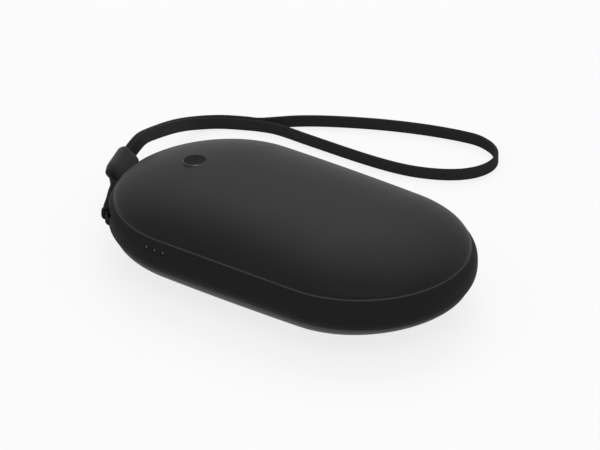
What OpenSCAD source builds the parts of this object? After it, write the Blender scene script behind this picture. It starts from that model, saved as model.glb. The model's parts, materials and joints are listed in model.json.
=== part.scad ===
// Rechargeable hand warmer: two domed heating shells that snap into a swelling middle band, with cells,
// board, button, lights and charging port inside, and a wrist strap hitched on a post in the band.
// The origin is under the middle of the body, on the surface that it rests on. X runs along the body,
// with the button and the strap at its -X end, and the lights face -Y.

/* [Body] */
// Length of the body over the band
body_length = 105; // [98:0.5:120]
// Width of the body over the band
body_width = 61.4; // [58:0.2:72]
// Height of the band between the shells
band_height = 9; // [8.6:0.1:11]
// How far the band swells past the edges of the shells
band_bulge = 1.8; // [1.2:0.1:2.4]
// Height of each shell above the band
dome_height = 9.2; // [8.6:0.1:12]

/* [Shells] */
// Thickness of a shell at its crown
shell_wall = 1.2; // [0.9:0.1:1.6]
// Chamfer round the edge of each shell
shell_chamfer = 0.35; // [0.2:0.05:0.6]
// Thickness of the tongue that sits in the band
tongue_wall = 1; // [0.8:0.1:1.2]
// Depth of the tongue
tongue_depth = 1.25; // [1:0.05:1.4]
// How far the snap bead stands out of the tongue
snap_bead = 0.2; // [0.1:0.05:0.3]
// How deep the crown of the lower shell is flattened where it rests
rest_depth = 0.15; // [0.1:0.05:0.3]

/* [Band] */
// Thickness of the lip outside a tongue, at the edge of the shell
band_lip = 1.1; // [0.9:0.1:1.4]
// Thickness of the band at mid height, inwards from the edge of the shell
band_wall = 3.4; // [3:0.1:4]

/* [Button] */
// Diameter of the power button
button_d = 5.5; // [5:0.1:7]
// Distance of the button from the middle of the body
button_place = 31.6; // [30:0.1:33]
// Press travel of the button
button_travel = 0.3; // [0.2:0.05:0.4]
// Wall of the trim ring round the button
ring_wall = 0.35; // [0.3:0.05:0.8]
// How far the trim ring stands above the shell
ring_proud = 0.45; // [0.2:0.05:0.7]

/* [Lights] */
// Diameter of each light in the band
light_d = 0.9; // [0.8:0.1:1.4]
// Distance from one light to the next
light_pitch = 2.7; // [2.4:0.1:3]
// Distance of the middle light from the middle of the body
light_place = 22.1; // [20.5:0.1:22.5]
// Height of the lights above the middle of the band
light_rise = 2; // [1.6:0.1:2.2]

/* [Lanyard] */
// Diameter of the lanyard cord
cord_d = 0.9; // [0.7:0.05:1]
// Diameter of the post that the cord is hitched on
post_d = 2.4; // [2:0.1:2.6]
// Radius of the pocket round the post
pocket_r = 3.9; // [3.6:0.1:4.2]
// Height of the pocket
pocket_height = 4.8; // [4.4:0.1:5]
// Angle of the post round the end of the band, from the tip towards the lights
post_angle = 42.5; // [40:0.5:45]

/* [Strap] */
// Width of the strap, which lies on its edge
strap_width = 3.3; // [3:0.1:4]
// Thickness of the strap
strap_thickness = 1.1; // [0.8:0.1:1.2]
// Length of the keeper that joins the cord to the strap
keeper_length = 10; // [8:0.5:11]
// Height of the keeper
keeper_height = 5.3; // [5:0.1:6]
// Thickness of the keeper
keeper_thickness = 4; // [4:0.1:5]

/* [Battery] */
// Length of each cell without its sealed end
cell_length = 43.5; // [38:0.5:44]
// Width of each cell
cell_width = 41; // [36:0.5:41]
// Thickness of each cell
cell_thickness = 6.2; // [5:0.1:6.2]
// Wall of the battery cradle
cradle_wall = 1; // [0.8:0.1:1.2]

/* [Board] */
// Thickness of the main board
board_t = 1; // [0.8:0.1:1.2]
// Width of the charging port
port_width = 8.94; // [8.94:0.01:9.1]
// Height of the charging port
port_height = 3.26; // [3.26:0.01:3.4]
// Length of the charging port
port_length = 7.3; // [6.8:0.1:8]

/* [Hidden] */

// Facets round bores and round the band
round_fn = 96;
small_fn = 32;
// Overrun of every cut past the face that it cuts
over = 1;
// Gap between parts that are fitted together
fit_gap = 0.1;
// Running gap of the button in its ring, and of the plunger in its switch
run_gap = 0.08;

// Plan of the body: a straight stretch with a half circle at each end
half_w = body_width / 2 - band_bulge;
half_l = body_length / 2 - band_bulge;
end_x = half_l - half_w;
band_r = half_w + band_bulge;
seam_z = band_height / 2;
mid_z = seam_z + dome_height - rest_depth;

// Profile of a shell: a superellipse across, and a crown that falls away along the body
shoulder = 2.2;
roundness = 1.65;
crown_share = 0.39;
dome_steps = 11;
inner_steps = 8;
crown_angle = 4;
arc_steps = 20;
side_steps = 5;
ring_points = 2 * (arc_steps + side_steps);

// Tongue of a shell and its seat in the band
tongue_inset = band_lip + fit_gap;
inner_r = half_w - tongue_inset - tongue_wall;
inner_rise = dome_height - shell_wall;
bead_height = 0.3;
bead_drop = 0.7;
seat_depth = tongue_depth + 2 * fit_gap;
bulge_r = (pow(seam_z, 2) + pow(band_bulge, 2)) / (2 * band_bulge);

// Screw lugs inside the band, each an angle from its end's middle line and how far in from the seam
board_top = -0.8;
board_bottom = board_top - board_t;
lug_thickness = 2;
lug_width = 4.4;
lug_root = 1;
board_lug_inset = 6.3;
board_lug_angles = [62, -50];
cradle_lug_inset = 10.9;
cradle_lug_angle = 20;
lug_reach = half_w - board_lug_inset;
cradle_lug_reach = half_w - cradle_lug_inset;
band_inner_r = half_w - band_wall;

// Screws
screw_d = 1.9;
screw_hole_d = 2;
screw_pass_d = 2.2;
screw_length = 2.8;
screw_head_d = 3.5;
screw_head_h = 1.3;
cross_width = 0.5;
cross_span = 2;
cross_depth = 0.6;

// Post, and the pocket round it
post_r_place = band_r - post_d;
pocket_wall = 1.2;
pocket_boss_r = pocket_r + pocket_wall;

// Button, its ring and the switch below
button_tilt = 4;
ring_bore = button_d / 2 + run_gap;
ring_r = ring_bore + ring_wall;
ring_length = 2.5;
ring_chamfer = 0.15;
cap_drop = 0.1;
cap_chamfer = 0.2;
dish_depth = 0.12;
dish_r = 24;
flange_d = 7.5;
flange_t = 1;
flange_gap = 0.25;
stem_d = 2.6;
switch_size = 6;
switch_height = 3.5;
switch_total = 7;
plunger_d = 3.4;
plunger_sink = 0.6;
switch_pin_d = 0.7;
switch_pin_inset = 0.8;
switch_pin_h = 0.15;

// Lights
led_size = [1.6, 0.8, 0.6];
led_y = -23.6;
pipe_ends = 3.4;
pipe_length = 2 * light_pitch + pipe_ends;
pipe_depth = 2.5;
pipe_lift = 0.8;
pipe_leg = 0.7;
pipe_back = 22.4;
light_recess = 0.1;
light_tip = 0.15;

// Port
port_sink = 1.2;
port_wall = 0.3;
port_clear = 0.15;
port_mouth_x = -(half_l + band_bulge - port_sink);
port_rear_x = port_mouth_x + port_length;
port_ear = [1.6, 1.7, 0.3];
port_ear_back = 0.4;
tongue_plate = [5.6, 6.7, 0.7];
tongue_block = 1.5;

// Board
board_gap = 0.3;
board_r = band_inner_r - board_gap;
board_edge_x = -17;
boss_clear = 0.4;
chip_lead = [0.4, 0.3, 0.3];
control_size = [5, 5, 0.9];
control_at = [-24, 0];
control_leads = 8;
charge_size = [4, 5, 1.5];
charge_at = [-38, 10];
charge_leads = 4;
driver_size = [3, 1.6, 1.1];
driver_top_at = [-25.5, 9];
driver_bottom_at = [-25.5, -9];
driver_leads = 2;

// Cells and their cradle
cell_left_x = -9.5;
cell_corner = 2.8;
cell_gap = 0.1;
cell_floor_z = -5.8;
seal_length = 3;
seal_t = 0.3;
seal_inset = 1;
tab_y = 8;
tab_width = 5;
tab_t = 0.2;
tab_foot = 0.3;
guard_size = [1, 34, 3.6];
guard_z = 0.3;
cradle_left_x = -15.7;
cradle_right_x = cell_left_x + cell_length + fit_gap + cradle_wall;
cradle_half_y = cell_width / 2 + fit_gap + cradle_wall;
cradle_corner = cell_corner + cradle_wall;
cradle_floor_top = cell_floor_z - fit_gap;
cradle_floor_t = 0.9;
cradle_rim_z = 3;
cradle_window = [11, 14];
window_corner = 2;
window_pitch = [15, 18];
ear_t = 1.2;
left_ear_t = 1.6;
left_ear_x = -19.2;
left_ear_y = 14;
notch_half = 6.5;
notch_floor_z = -0.2;

// Heaters: film glued inside each shell, foam over the cells, beads that read the temperature
glue_gap = 0.1;
film_t = 0.25;
film_steps = 7;
film_last_angle = 52;
film_size = [62, 34];
film_left_x = -25;
film_corner = 3;
foam_size = [44, 36];
foam_left_x = -10.5;
foam_gap = 0.2;
bead_d = 1.4;
bead_length = 2;
bead_at = [-19, -5];
bead_gap = 0.15;

// Leads, each a short list of points in the frame of the band's middle
lead_d = 1;
lead_sides = 8;
battery_lead_y = 3;
battery_lead_route = [[-14, 0.8], [-15, 0.8], [-16.4, 0.9], [-17.8, 0.8], [-18.8, 0.3], [-19.3, -0.3]];
heater_lead_at = [-20.5, 8];
sensor_lead_at = [-20.5, -5];
lead_bow = 0.8;
// Shares of a lead's height and of its bow
lead_shares = [[0, 0], [0.08, 0], [0.25, 0.5], [0.5, 1], [0.75, 0.5], [0.92, 0], [1, 0]];

// Lanyard cord: two strands round the end of the band, aslant to each other at the keeper and one above
// the other at the post. Each point is an angle from the tip, a distance out from the band, the height of
// the pair's middle, half the strands' spacing, and how far the pair is turned from upright
cord_sides = 8;
cord_run = [[3.6, 4.1, 0.8, 0.55, 60], [6.5, 3.6, 0.5, 0.56, 45], [9.4, 2.6, 0.42, 0.55, 25],
  [12.6, 1.65, 0.31, 0.54, 25], [16.5, 1.04, 0.21, 0.55, 35], [21, 0.71, 0.1, 0.56, 16],
  [25.5, 0.57, 0.1, 0.58, 0], [30, 0.58, 0.15, 0.6, 0], [34.5, 0.68, 0.25, 0.6, 0]];
// The hitch, from the post's axis: across, outwards, half the strands' spacing, and the height of the
// pair's middle. Each strand passes in front of the post and back round it, and the bight holds both
cord_hitch = [[-2.9, 2.85, 0.6, 0.3], [-2.2, 2.5, 0.6, 0.3], [-1.5, 2.4, 0.6, 0.1],
  [-0.7, 2.6, 0.6, -0.2], [0.1, 2.7, 0.6, -0.4], [1, 2.4, 0.6, -0.5], [1.75, 1.5, 0.65, -0.45],
  [2, 0.3, 0.7, -0.3], [1.7, -0.9, 0.85, -0.15], [0.9, -1.6, 1, 0], [0, -1.85, 1.15, 0.05],
  [-1.1, -1.45, 1.3, 0.1], [-1.75, -0.6, 1.4, 0.2], [-2, 0.4, 1.5, 0.3], [-2.1, 1.5, 1.55, 0.35],
  [-2.1, 2.5, 1.55, 0.35], [-2.1, 3.1, 1.4, 0.35], [-2.1, 3.42, 1, 0.35], [-2.1, 3.5, 0.5, 0.35]];
cord_bight = [-2.1, 3.5, 0, 0.35];

// Keeper: its middle, and how far it turns, rises and leans
keeper_at = [-56.58, 1.23, 15.33];
// The keeper's and the strap's places are for a body whose tip is here, and move with the tip
strap_tip_x = -52.5;
keeper_yaw = 6;
keeper_pitch = 20.7;
keeper_roll = 23;
keeper_round = 1.3;
keeper_taper = 0.5;

// Strap: the middle line of both runs from the keeper to where they part, with how far they lean, and
// then the loop. Both lie on the surface that the body rests on
strap_gap = 0.3;
strap_edge = 0.3;
strap_pair = [[-57.1, 4.8, 17, 23], [-57.5, 8, 17.9, 23], [-58.8, 12, 17.5, 22], [-60.6, 16.5, 16, 19],
  [-62.4, 22, 13.9, 15], [-64.2, 28, 11.6, 11], [-66, 34, 9.2, 7], [-67.5, 40, 6.8, 4],
  [-68.4, 45.5, 4.6, 2], [-68.5, 49.5, 3.1, 0], [-67.6, 53, 2.1, 0], [-65.5, 55.7, 1.7, 0],
  [-62.5, 57.6, 1.7, 0], [-59, 59.4, 1.7, 0], [-56, 60.8, 1.7, 0]];
strap_loop = [[-51.5, 61.5, 1.7], [-47, 61.8, 1.7], [-42, 61.8, 1.7], [-36, 61.9, 1.7], [-30, 62, 1.7],
  [-24, 62.2, 1.7], [-18, 62.6, 1.7], [-12.5, 63.3, 1.7], [-7.5, 64.5, 1.7], [-3, 66.3, 1.7],
  [0.8, 68.5, 1.7], [3.8, 71.1, 1.7], [5.9, 74.2, 1.7], [6.9, 77.6, 1.7], [6.7, 81, 1.7],
  [5.2, 84, 1.7], [2.6, 86.4, 1.7], [-0.6, 87.8, 1.7], [-4.2, 88.4, 1.7], [-8, 87.9, 1.7],
  [-12.5, 86.8, 1.7], [-18, 85.1, 1.7], [-23.5, 83, 1.7], [-29, 80.6, 1.7], [-34.5, 77.8, 1.7],
  [-40, 74.7, 1.7], [-45, 71.5, 1.7], [-49.3, 68.2, 1.7], [-52.6, 65, 1.7]];

// Colours
shell_colour = [0.19, 0.19, 0.2];
band_colour = [0.09, 0.09, 0.09];
metal_colour = [0.72, 0.72, 0.74];
board_colour = [0.05, 0.25, 0.12];
chip_colour = [0.1, 0.1, 0.11];
foil_colour = [0.78, 0.78, 0.8];
film_colour = [0.75, 0.45, 0.12];
foam_colour = [0.85, 0.85, 0.82];
light_colour = [0.9, 0.92, 0.95];
strap_colour = [0.12, 0.12, 0.12];

// Share of the dome's height at a place along the body, for one ring angle from 0 at the crown to 90
function dome_share(x, angle) =
  pow(cos(angle), 2 / roundness) * (1 - crown_share * pow(x / half_l, 2));

function ring_share(angle) = pow(sin(angle), 2 / shoulder);

function crown_to(last, steps) = [for (i = [0 : steps]) crown_angle + (last - crown_angle) * i / steps];

function backwards(list) = [for (i = [len(list) - 1 : -1 : 0]) list[i]];

// Outline of the body at a radius: right end, far side, left end, near side
function outline(r) = concat(
  [for (i = [0 : arc_steps]) let (a = 180 * i / arc_steps - 90) [end_x + r * cos(a), r * sin(a)]],
  [for (i = [1 : side_steps - 1]) [end_x - 2 * end_x * i / side_steps, r]],
  [for (i = [0 : arc_steps]) let (a = 180 * i / arc_steps + 90) [-end_x + r * cos(a), r * sin(a)]],
  [for (i = [1 : side_steps - 1]) [-end_x + 2 * end_x * i / side_steps, -r]]);

function dome_ring(r, base, rise, angle) =
  [for (p = outline(r * ring_share(angle))) [p[0], p[1], base + rise * dome_share(p[0], angle)]];

function flat_ring(r, z) = [for (p = outline(r)) [p[0], p[1], z]];

// Height of the inside of a shell over a place, above the middle of the band
function inner_height(x, y) =
  let (rho = norm([max(abs(x) - end_x, 0), y]) / inner_r)
  seam_z + inner_rise * pow(1 - pow(rho, shoulder), 1 / roundness)
    * (1 - crown_share * pow(x / half_l, 2));

function outer_height(x) =
  let (rho = max(abs(x) - end_x, 0) / half_w)
  seam_z + dome_height * pow(1 - pow(rho, shoulder), 1 / roundness)
    * (1 - crown_share * pow(x / half_l, 2));

// How far the swelling side of the band lies from its middle line at a height
function band_reach(z) = band_r - bulge_r + sqrt(pow(bulge_r, 2) - pow(z, 2));

// Triangles between neighbouring rings, and across the first and last ring
function side_faces(rings, n) = [for (k = [0 : rings - 2]) for (i = [0 : n - 1])
  let (a = k * n + i, b = k * n + (i + 1) % n, c = b + n, d = a + n)
  for (face = [[a, b, c], [a, c, d]]) face];

function cap_faces(first, up) = [
  for (k = [0 : ring_points / 2 - 1])
  let (m = arc_steps / 2, u = first + m + k, v = u + 1,
    l = first + (m - k + ring_points) % ring_points, w = first + (m - k - 1 + ring_points) % ring_points)
  for (face = [if (k > 0) [u, l, w], if (k < ring_points / 2 - 1) [u, w, v]])
  up ? face : [face[2], face[1], face[0]]];

// Closed solid through rings that all follow the outline of the body
module stacked(rings) {
  polyhedron(points = [for (r = rings) for (p = r) p],
    faces = concat(side_faces(len(rings), ring_points), cap_faces(0, true),
      cap_faces((len(rings) - 1) * ring_points, false)));
}

// Tube through points: each ring is carried along the route without twist
function unit(v) = v / norm(v);

function heading(p, i) = unit(p[min(i + 1, len(p) - 1)] - p[max(i - 1, 0)]);

function square_to(n, t) = unit(n - (n * t) * t);

function carried(p, start) =
  [for (i = 0, n = square_to(start, heading(p, 0)); i < len(p);
    i = i + 1, n = i < len(p) ? square_to(n, heading(p, i)) : n) n];

function end_faces(first, n, start) =
  [for (i = [1 : n - 2]) start ? [first, first + i + 1, first + i] : [first, first + i, first + i + 1]];

module tube_solid(points, rings, sides) {
  polyhedron(points = points, faces = concat(side_faces(rings, sides), end_faces(0, sides, true),
    end_faces((rings - 1) * sides, sides, false)));
}

module tube(route, r, sides, start) {
  normals = carried(route, start);
  points = [for (i = [0 : len(route) - 1]) for (k = [0 : sides - 1])
    let (n = normals[i], b = cross(n, heading(route, i)), a = 360 * k / sides)
    route[i] + r * (cos(a) * n + sin(a) * b)];
  tube_solid(points, len(route), sides);
}

// Frame of the middle of the band
module lifted() {
  translate([0, 0, mid_z]) children();
}

// Place on the left end: an angle from the tip towards the lights, and a radius
module at_left(angle, radius) {
  translate([-end_x, 0, 0]) rotate([0, 0, 180 + angle]) translate([radius, 0, 0]) children();
}

// Carries a profile of radius and height round the body
module round_body() {
  for (side = [0, 1]) {
    mirror([side, 0, 0]) translate([end_x, 0, 0]) rotate([0, 0, -90])
      rotate_extrude(angle = 180, $fn = round_fn) children();
    mirror([0, side, 0]) translate([-end_x, 0, 0]) rotate([90, 0, 90])
      linear_extrude(2 * end_x) children();
  }
}

module rounded_rect(size, r) {
  for (x = [r, size[0] - r]) for (y = [r, size[1] - r])
    translate([x, y]) circle(r = r, $fn = small_fn);
  translate([r, 0]) square([size[0] - 2 * r, size[1]]);
  translate([0, r]) square([size[0], size[1] - 2 * r]);
}

// Flat oval bar along X, with its middle on the axis
module oval_bar(width, height, length) {
  translate([0, (height - width) / 2, -height / 2]) cube([length, width - height, height]);
  for (side = [-1, 1]) translate([0, side * (width - height) / 2, 0]) rotate([0, 90, 0])
    cylinder(d = height, h = length, $fn = small_fn);
}

// Shell above the middle of the band: crown, edge, tongue with its bead, and the hollow inside
module shell_blank() {
  tongue_r = half_w - tongue_inset;
  stacked(concat(
    [for (a = crown_to(90, dome_steps))
      dome_ring(half_w, seam_z + shell_chamfer, dome_height - shell_chamfer, a)],
    [flat_ring(half_w - shell_chamfer, seam_z), flat_ring(tongue_r, seam_z),
      flat_ring(tongue_r, seam_z - bead_drop + bead_height),
      flat_ring(tongue_r + snap_bead, seam_z - bead_drop),
      flat_ring(tongue_r, seam_z - bead_drop - bead_height),
      flat_ring(tongue_r, seam_z - tongue_depth), flat_ring(inner_r, seam_z - tongue_depth)],
    [for (a = backwards(crown_to(90, inner_steps))) dome_ring(inner_r, seam_z, inner_rise, a)]));
}

// Frame of the button's face, tilted a little towards the tip as the shell is
module button_frame() {
  translate([-button_place, 0, outer_height(-button_place) + ring_proud])
    rotate([0, -button_tilt, 0]) children();
}

module top_shell() {
  color(shell_colour) lifted() difference() {
    shell_blank();
    button_frame() translate([0, 0, -dome_height]) cylinder(r = ring_r, h = 2 * dome_height,
      $fn = round_fn);
  }
}

module bottom_shell() {
  color(shell_colour) lifted() difference() {
    mirror([0, 0, 1]) shell_blank();
    translate([-half_l, -half_w, -mid_z - over]) cube([2 * half_l, 2 * half_w, over]);
  }
}

module band_profile() {
  difference() {
    intersection() {
      translate([band_r - bulge_r, 0]) circle(r = bulge_r, $fn = round_fn);
      translate([band_inner_r, -seam_z]) square([band_wall + band_bulge + over, band_height]);
    }
    for (side = [0, 1]) mirror([0, side]) {
      translate([band_inner_r - over, seam_z - seat_depth])
        square([over + band_wall - band_lip, seat_depth + over]);
      translate([half_w - band_lip - over, seam_z - bead_drop - bead_height - fit_gap])
        square([over + snap_bead, 2 * (bead_height + fit_gap)]);
    }
  }
}

module lug(reach) {
  translate([0, 0, board_bottom - lug_thickness]) {
    cylinder(d = lug_width, h = lug_thickness, $fn = small_fn);
    translate([0, -lug_width / 2, 0])
      cube([band_inner_r - reach + lug_root, lug_width, lug_thickness]);
  }
}

module lug_places() {
  for (angle = board_lug_angles) at_left(angle, lug_reach) children(0);
  for (side = [-1, 1]) mirror([1, 0, 0]) at_left(side * cradle_lug_angle, cradle_lug_reach) children(1);
}

module band() {
  seat_z = seam_z - seat_depth;
  color(band_colour) lifted() {
    difference() {
      union() {
        round_body() band_profile();
        lug_places() {
          lug(lug_reach);
          lug(cradle_lug_reach);
        }
        intersection() {
          at_left(post_angle, post_r_place) translate([0, 0, -seat_z])
            cylinder(r = pocket_boss_r, h = 2 * seat_z, $fn = round_fn);
          translate([-end_x, 0, -seat_z])
            cylinder(r = half_w - band_lip, h = 2 * seat_z, $fn = round_fn);
        }
      }
      at_left(post_angle, post_r_place) translate([0, 0, -pocket_height / 2])
        cylinder(r = pocket_r, h = pocket_height, $fn = round_fn);
      translate([-body_length / 2 - over, 0, 0]) oval_bar(port_width + 2 * port_clear,
        port_height + 2 * port_clear, band_bulge + band_wall + 2 * over);
      for (i = [-1 : 1]) translate([i * light_pitch - light_place, -pipe_back, light_rise])
        rotate([90, 0, 0]) cylinder(d = light_d + 2 * fit_gap, h = band_r - pipe_back + over,
          $fn = small_fn);
      lug_places() {
        screw_hole(screw_hole_d);
        screw_hole(screw_hole_d);
      }
    }
    at_left(post_angle, post_r_place) translate([0, 0, -(pocket_height + fit_gap) / 2])
      cylinder(d = post_d, h = pocket_height + fit_gap, $fn = small_fn);
  }
}

module screw_hole(d) {
  translate([0, 0, -seam_z]) cylinder(d = d, h = band_height, $fn = small_fn);
}

module button_ring() {
  color(metal_colour) lifted() button_frame() rotate_extrude($fn = round_fn)
    polygon([[ring_bore, -ring_length], [ring_r - run_gap / 2, -ring_length],
      [ring_r - run_gap / 2, -ring_chamfer], [ring_r - ring_chamfer, 0],
      [ring_bore + ring_chamfer / 2, 0], [ring_bore, -ring_chamfer / 2]]);
}

function plunger_top() = board_top + switch_total;

module power_button() {
  cap_r = button_d / 2;
  flange_top = -ring_length - flange_gap;
  stem_top = outer_height(-button_place) + ring_proud + flange_top - flange_t / 2;
  color(band_colour) lifted() {
    button_frame() {
      rotate_extrude($fn = round_fn) difference() {
        polygon([[0, flange_top - flange_t / 2], [cap_r, flange_top - flange_t / 2],
          [cap_r, -cap_drop - cap_chamfer], [cap_r - cap_chamfer, -cap_drop], [0, -cap_drop]]);
        translate([0, dish_r - cap_drop - dish_depth]) circle(r = dish_r, $fn = round_fn);
      }
      translate([0, 0, flange_top - flange_t]) cylinder(d = flange_d, h = flange_t, $fn = round_fn);
    }
    translate([-button_place, 0, plunger_top()])
      cylinder(d = stem_d, h = stem_top - plunger_top(), $fn = small_fn);
  }
}

module switch_body() {
  half = switch_size / 2;
  color(chip_colour) lifted() translate([-button_place, 0, board_top]) {
    difference() {
      translate([-half, -half, 0]) cube([switch_size, switch_size, switch_height]);
      translate([0, 0, switch_height - plunger_sink - button_travel - fit_gap])
        cylinder(d = plunger_d + 2 * run_gap, h = switch_height, $fn = small_fn);
    }
    for (x = [-1, 1]) for (y = [-1, 1])
      translate([x * (half - switch_pin_inset), y * (half - switch_pin_inset), switch_height])
        cylinder(d = switch_pin_d, h = switch_pin_h, $fn = small_fn);
  }
}

module switch_plunger() {
  bottom = switch_height - plunger_sink;
  color(band_colour) lifted() translate([-button_place, 0, board_top + bottom])
    cylinder(d = plunger_d, h = switch_total - bottom, $fn = small_fn);
}

module board_outline() {
  difference() {
    intersection() {
      union() {
        translate([-end_x, 0]) circle(r = board_r, $fn = round_fn);
        translate([-end_x, -board_r]) square([end_x, 2 * board_r]);
      }
      translate([-half_l, -board_r]) square([half_l + board_edge_x, 2 * board_r]);
    }
    at_left(post_angle, post_r_place) circle(r = pocket_boss_r + boss_clear, $fn = round_fn);
    translate([-half_l, -port_width / 2 - port_clear])
      square([half_l + port_rear_x + port_clear, port_width + 2 * port_clear]);
    for (angle = board_lug_angles) at_left(angle, lug_reach)
      circle(d = screw_pass_d, $fn = small_fn);
    for (side = [-1, 1]) translate([left_ear_x, side * left_ear_y])
      circle(d = screw_pass_d, $fn = small_fn);
  }
}

module main_board() {
  color(board_colour) lifted() translate([0, 0, board_bottom]) linear_extrude(board_t) board_outline();
}

// Chip on the board with a row of leads along each long side
module chip(at, size, leads) {
  translate([at[0], at[1], board_top]) {
    translate([-size[0] / 2, -size[1] / 2, 0]) cube(size);
    for (side = [0, 1]) mirror([side, 0, 0]) for (i = [0 : leads - 1])
      translate([size[0] / 2, size[1] * ((i + 0.5) / leads - 0.5) - chip_lead[1] / 2, 0])
        cube(chip_lead);
  }
}

module control_chip() {
  color(chip_colour) lifted() chip(control_at, control_size, control_leads);
}

module charge_chip() {
  color(chip_colour) lifted() chip(charge_at, charge_size, charge_leads);
}

module heater_driver_top() {
  color(chip_colour) lifted() chip(driver_top_at, driver_size, driver_leads);
}

module heater_driver_bottom() {
  color(chip_colour) lifted() chip(driver_bottom_at, driver_size, driver_leads);
}

module led(i) {
  color(light_colour) lifted()
    translate([i * light_pitch - light_place - led_size[0] / 2, led_y - led_size[1] / 2, board_top])
      cube(led_size);
}

module led_left() {
  led(-1);
}

module led_middle() {
  led(0);
}

module led_right() {
  led(1);
}

// Clear bar on two legs over the lights, with a prong through the band for each
module light_pipe() {
  bar_bottom = board_top + pipe_lift;
  bar_top = light_rise + light_d / 2 + fit_gap;
  color(light_colour) lifted() {
    translate([-light_place - pipe_length / 2, -pipe_back - pipe_depth, bar_bottom])
      cube([pipe_length, pipe_depth, bar_top - bar_bottom]);
    for (side = [0, 1]) translate([-light_place, 0, 0]) mirror([side, 0, 0])
      translate([pipe_length / 2 - pipe_leg, -pipe_back - pipe_depth / 2, board_top])
        cube([pipe_leg, pipe_depth / 2, pipe_lift]);
    for (i = [-1 : 1]) {
      x = i * light_pitch - light_place;
      reach = sqrt(pow(band_reach(light_rise), 2) - pow(max(abs(x) - end_x, 0), 2)) - light_recess;
      translate([x, -pipe_back - pipe_depth / 2, light_rise]) rotate([90, 0, 0]) {
        cylinder(d = light_d, h = reach - light_tip - pipe_back - pipe_depth / 2, $fn = small_fn);
        translate([0, 0, reach - light_tip - pipe_back - pipe_depth / 2])
          cylinder(d1 = light_d, d2 = light_d - 2 * light_tip, h = light_tip, $fn = small_fn);
      }
    }
  }
}

module usb_port_shell() {
  color(metal_colour) lifted() translate([port_mouth_x, 0, 0]) {
    difference() {
      oval_bar(port_width, port_height, port_length);
      translate([-over, 0, 0]) oval_bar(port_width - 2 * port_wall, port_height - 2 * port_wall,
        port_length + 2 * over);
    }
    for (side = [0, 1]) mirror([0, side, 0])
      translate([port_length - port_ear_back - port_ear[0], port_width / 2 - port_wall, board_top])
        cube([port_ear[0], port_ear[1] + port_wall, port_ear[2]]);
  }
}

module usb_port_tongue() {
  inside = 2 * (port_wall + fit_gap / 2);
  color(band_colour) lifted() {
    translate([port_rear_x - tongue_block, 0, 0])
      oval_bar(port_width - inside, port_height - inside, tongue_block);
    translate([port_rear_x - tongue_block / 2 - tongue_plate[0], -tongue_plate[1] / 2,
      -tongue_plate[2] / 2]) cube(tongue_plate);
  }
}

// Pouch cell with its sealed end towards the board
module cell(bottom) {
  color(foil_colour) lifted() {
    translate([cell_left_x, -cell_width / 2, bottom]) linear_extrude(cell_thickness)
      rounded_rect([cell_length, cell_width], cell_corner);
    translate([cell_left_x - seal_length, seal_inset - cell_width / 2,
      bottom + (cell_thickness - seal_t) / 2])
      cube([seal_length + cell_corner, cell_width - 2 * seal_inset, seal_t]);
  }
}

module battery_cell_lower() {
  cell(cell_floor_z);
}

module battery_cell_upper() {
  cell(cell_floor_z + cell_thickness + cell_gap);
}

// Nickel strip that joins the two cells, with a foot on the protection board
module cell_tab(side) {
  low = cell_floor_z + cell_thickness / 2;
  left = cell_left_x - seal_length - tab_t;
  color(metal_colour) lifted() translate([left, side * tab_y - tab_width / 2, 0]) {
    translate([0, 0, low - seal_t / 2])
      cube([tab_t, tab_width, cell_thickness + cell_gap + seal_t]);
    translate([-tab_foot, 0, guard_z - tab_t / 2]) cube([tab_foot + tab_t, tab_width, tab_t]);
  }
}

module battery_tab_positive() {
  cell_tab(1);
}

module battery_tab_negative() {
  cell_tab(-1);
}

module protection_board() {
  color(board_colour) lifted()
    translate([cell_left_x - seal_length - tab_t - tab_foot - guard_size[0], -guard_size[1] / 2,
      guard_z - guard_size[2] / 2]) cube(guard_size);
}

module battery_cradle() {
  outer = [cradle_right_x - cradle_left_x, 2 * cradle_half_y];
  inner = [outer[0] - 2 * cradle_wall, outer[1] - 2 * cradle_wall];
  floor_bottom = cradle_floor_top - cradle_floor_t;
  ear_x = end_x + cradle_lug_reach * cos(cradle_lug_angle);
  ear_y = cradle_lug_reach * sin(cradle_lug_angle);
  color(band_colour) lifted() difference() {
    union() {
      translate([cradle_left_x, -cradle_half_y, floor_bottom])
        linear_extrude(cradle_rim_z - floor_bottom) rounded_rect(outer, cradle_corner);
      for (side = [-1, 1]) {
        translate([ear_x, side * ear_y, board_bottom])
          cylinder(d = lug_width, h = ear_t, $fn = small_fn);
        translate([cradle_right_x - cradle_wall, side * ear_y - lug_width / 2, board_bottom])
          cube([ear_x - cradle_right_x + cradle_wall, lug_width, ear_t]);
        translate([left_ear_x, side * left_ear_y, board_bottom - left_ear_t])
          cylinder(d = lug_width, h = left_ear_t, $fn = small_fn);
        translate([left_ear_x, side * left_ear_y - lug_width / 2, board_bottom - left_ear_t])
          cube([cradle_left_x + cradle_wall - left_ear_x, lug_width, left_ear_t]);
      }
    }
    translate([cradle_left_x + cradle_wall, cradle_wall - cradle_half_y, cradle_floor_top])
      linear_extrude(band_height + cell_thickness) rounded_rect(inner, cell_corner);
    for (i = [-1 : 1]) for (j = [-0.5, 0.5])
      translate([(cradle_left_x + cradle_right_x - cradle_window[0]) / 2 + i * window_pitch[0],
        j * window_pitch[1] - cradle_window[1] / 2, floor_bottom - over])
        linear_extrude(cradle_floor_t + 2 * over) rounded_rect(cradle_window, window_corner);
    translate([cradle_left_x - over, -notch_half, notch_floor_z])
      cube([cradle_wall + 2 * over, 2 * notch_half, band_height]);
    for (side = [-1, 1]) {
      translate([ear_x, side * ear_y, 0]) screw_hole(screw_pass_d);
      translate([left_ear_x, side * left_ear_y, 0]) screw_hole(screw_hole_d);
    }
  }
}

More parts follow.
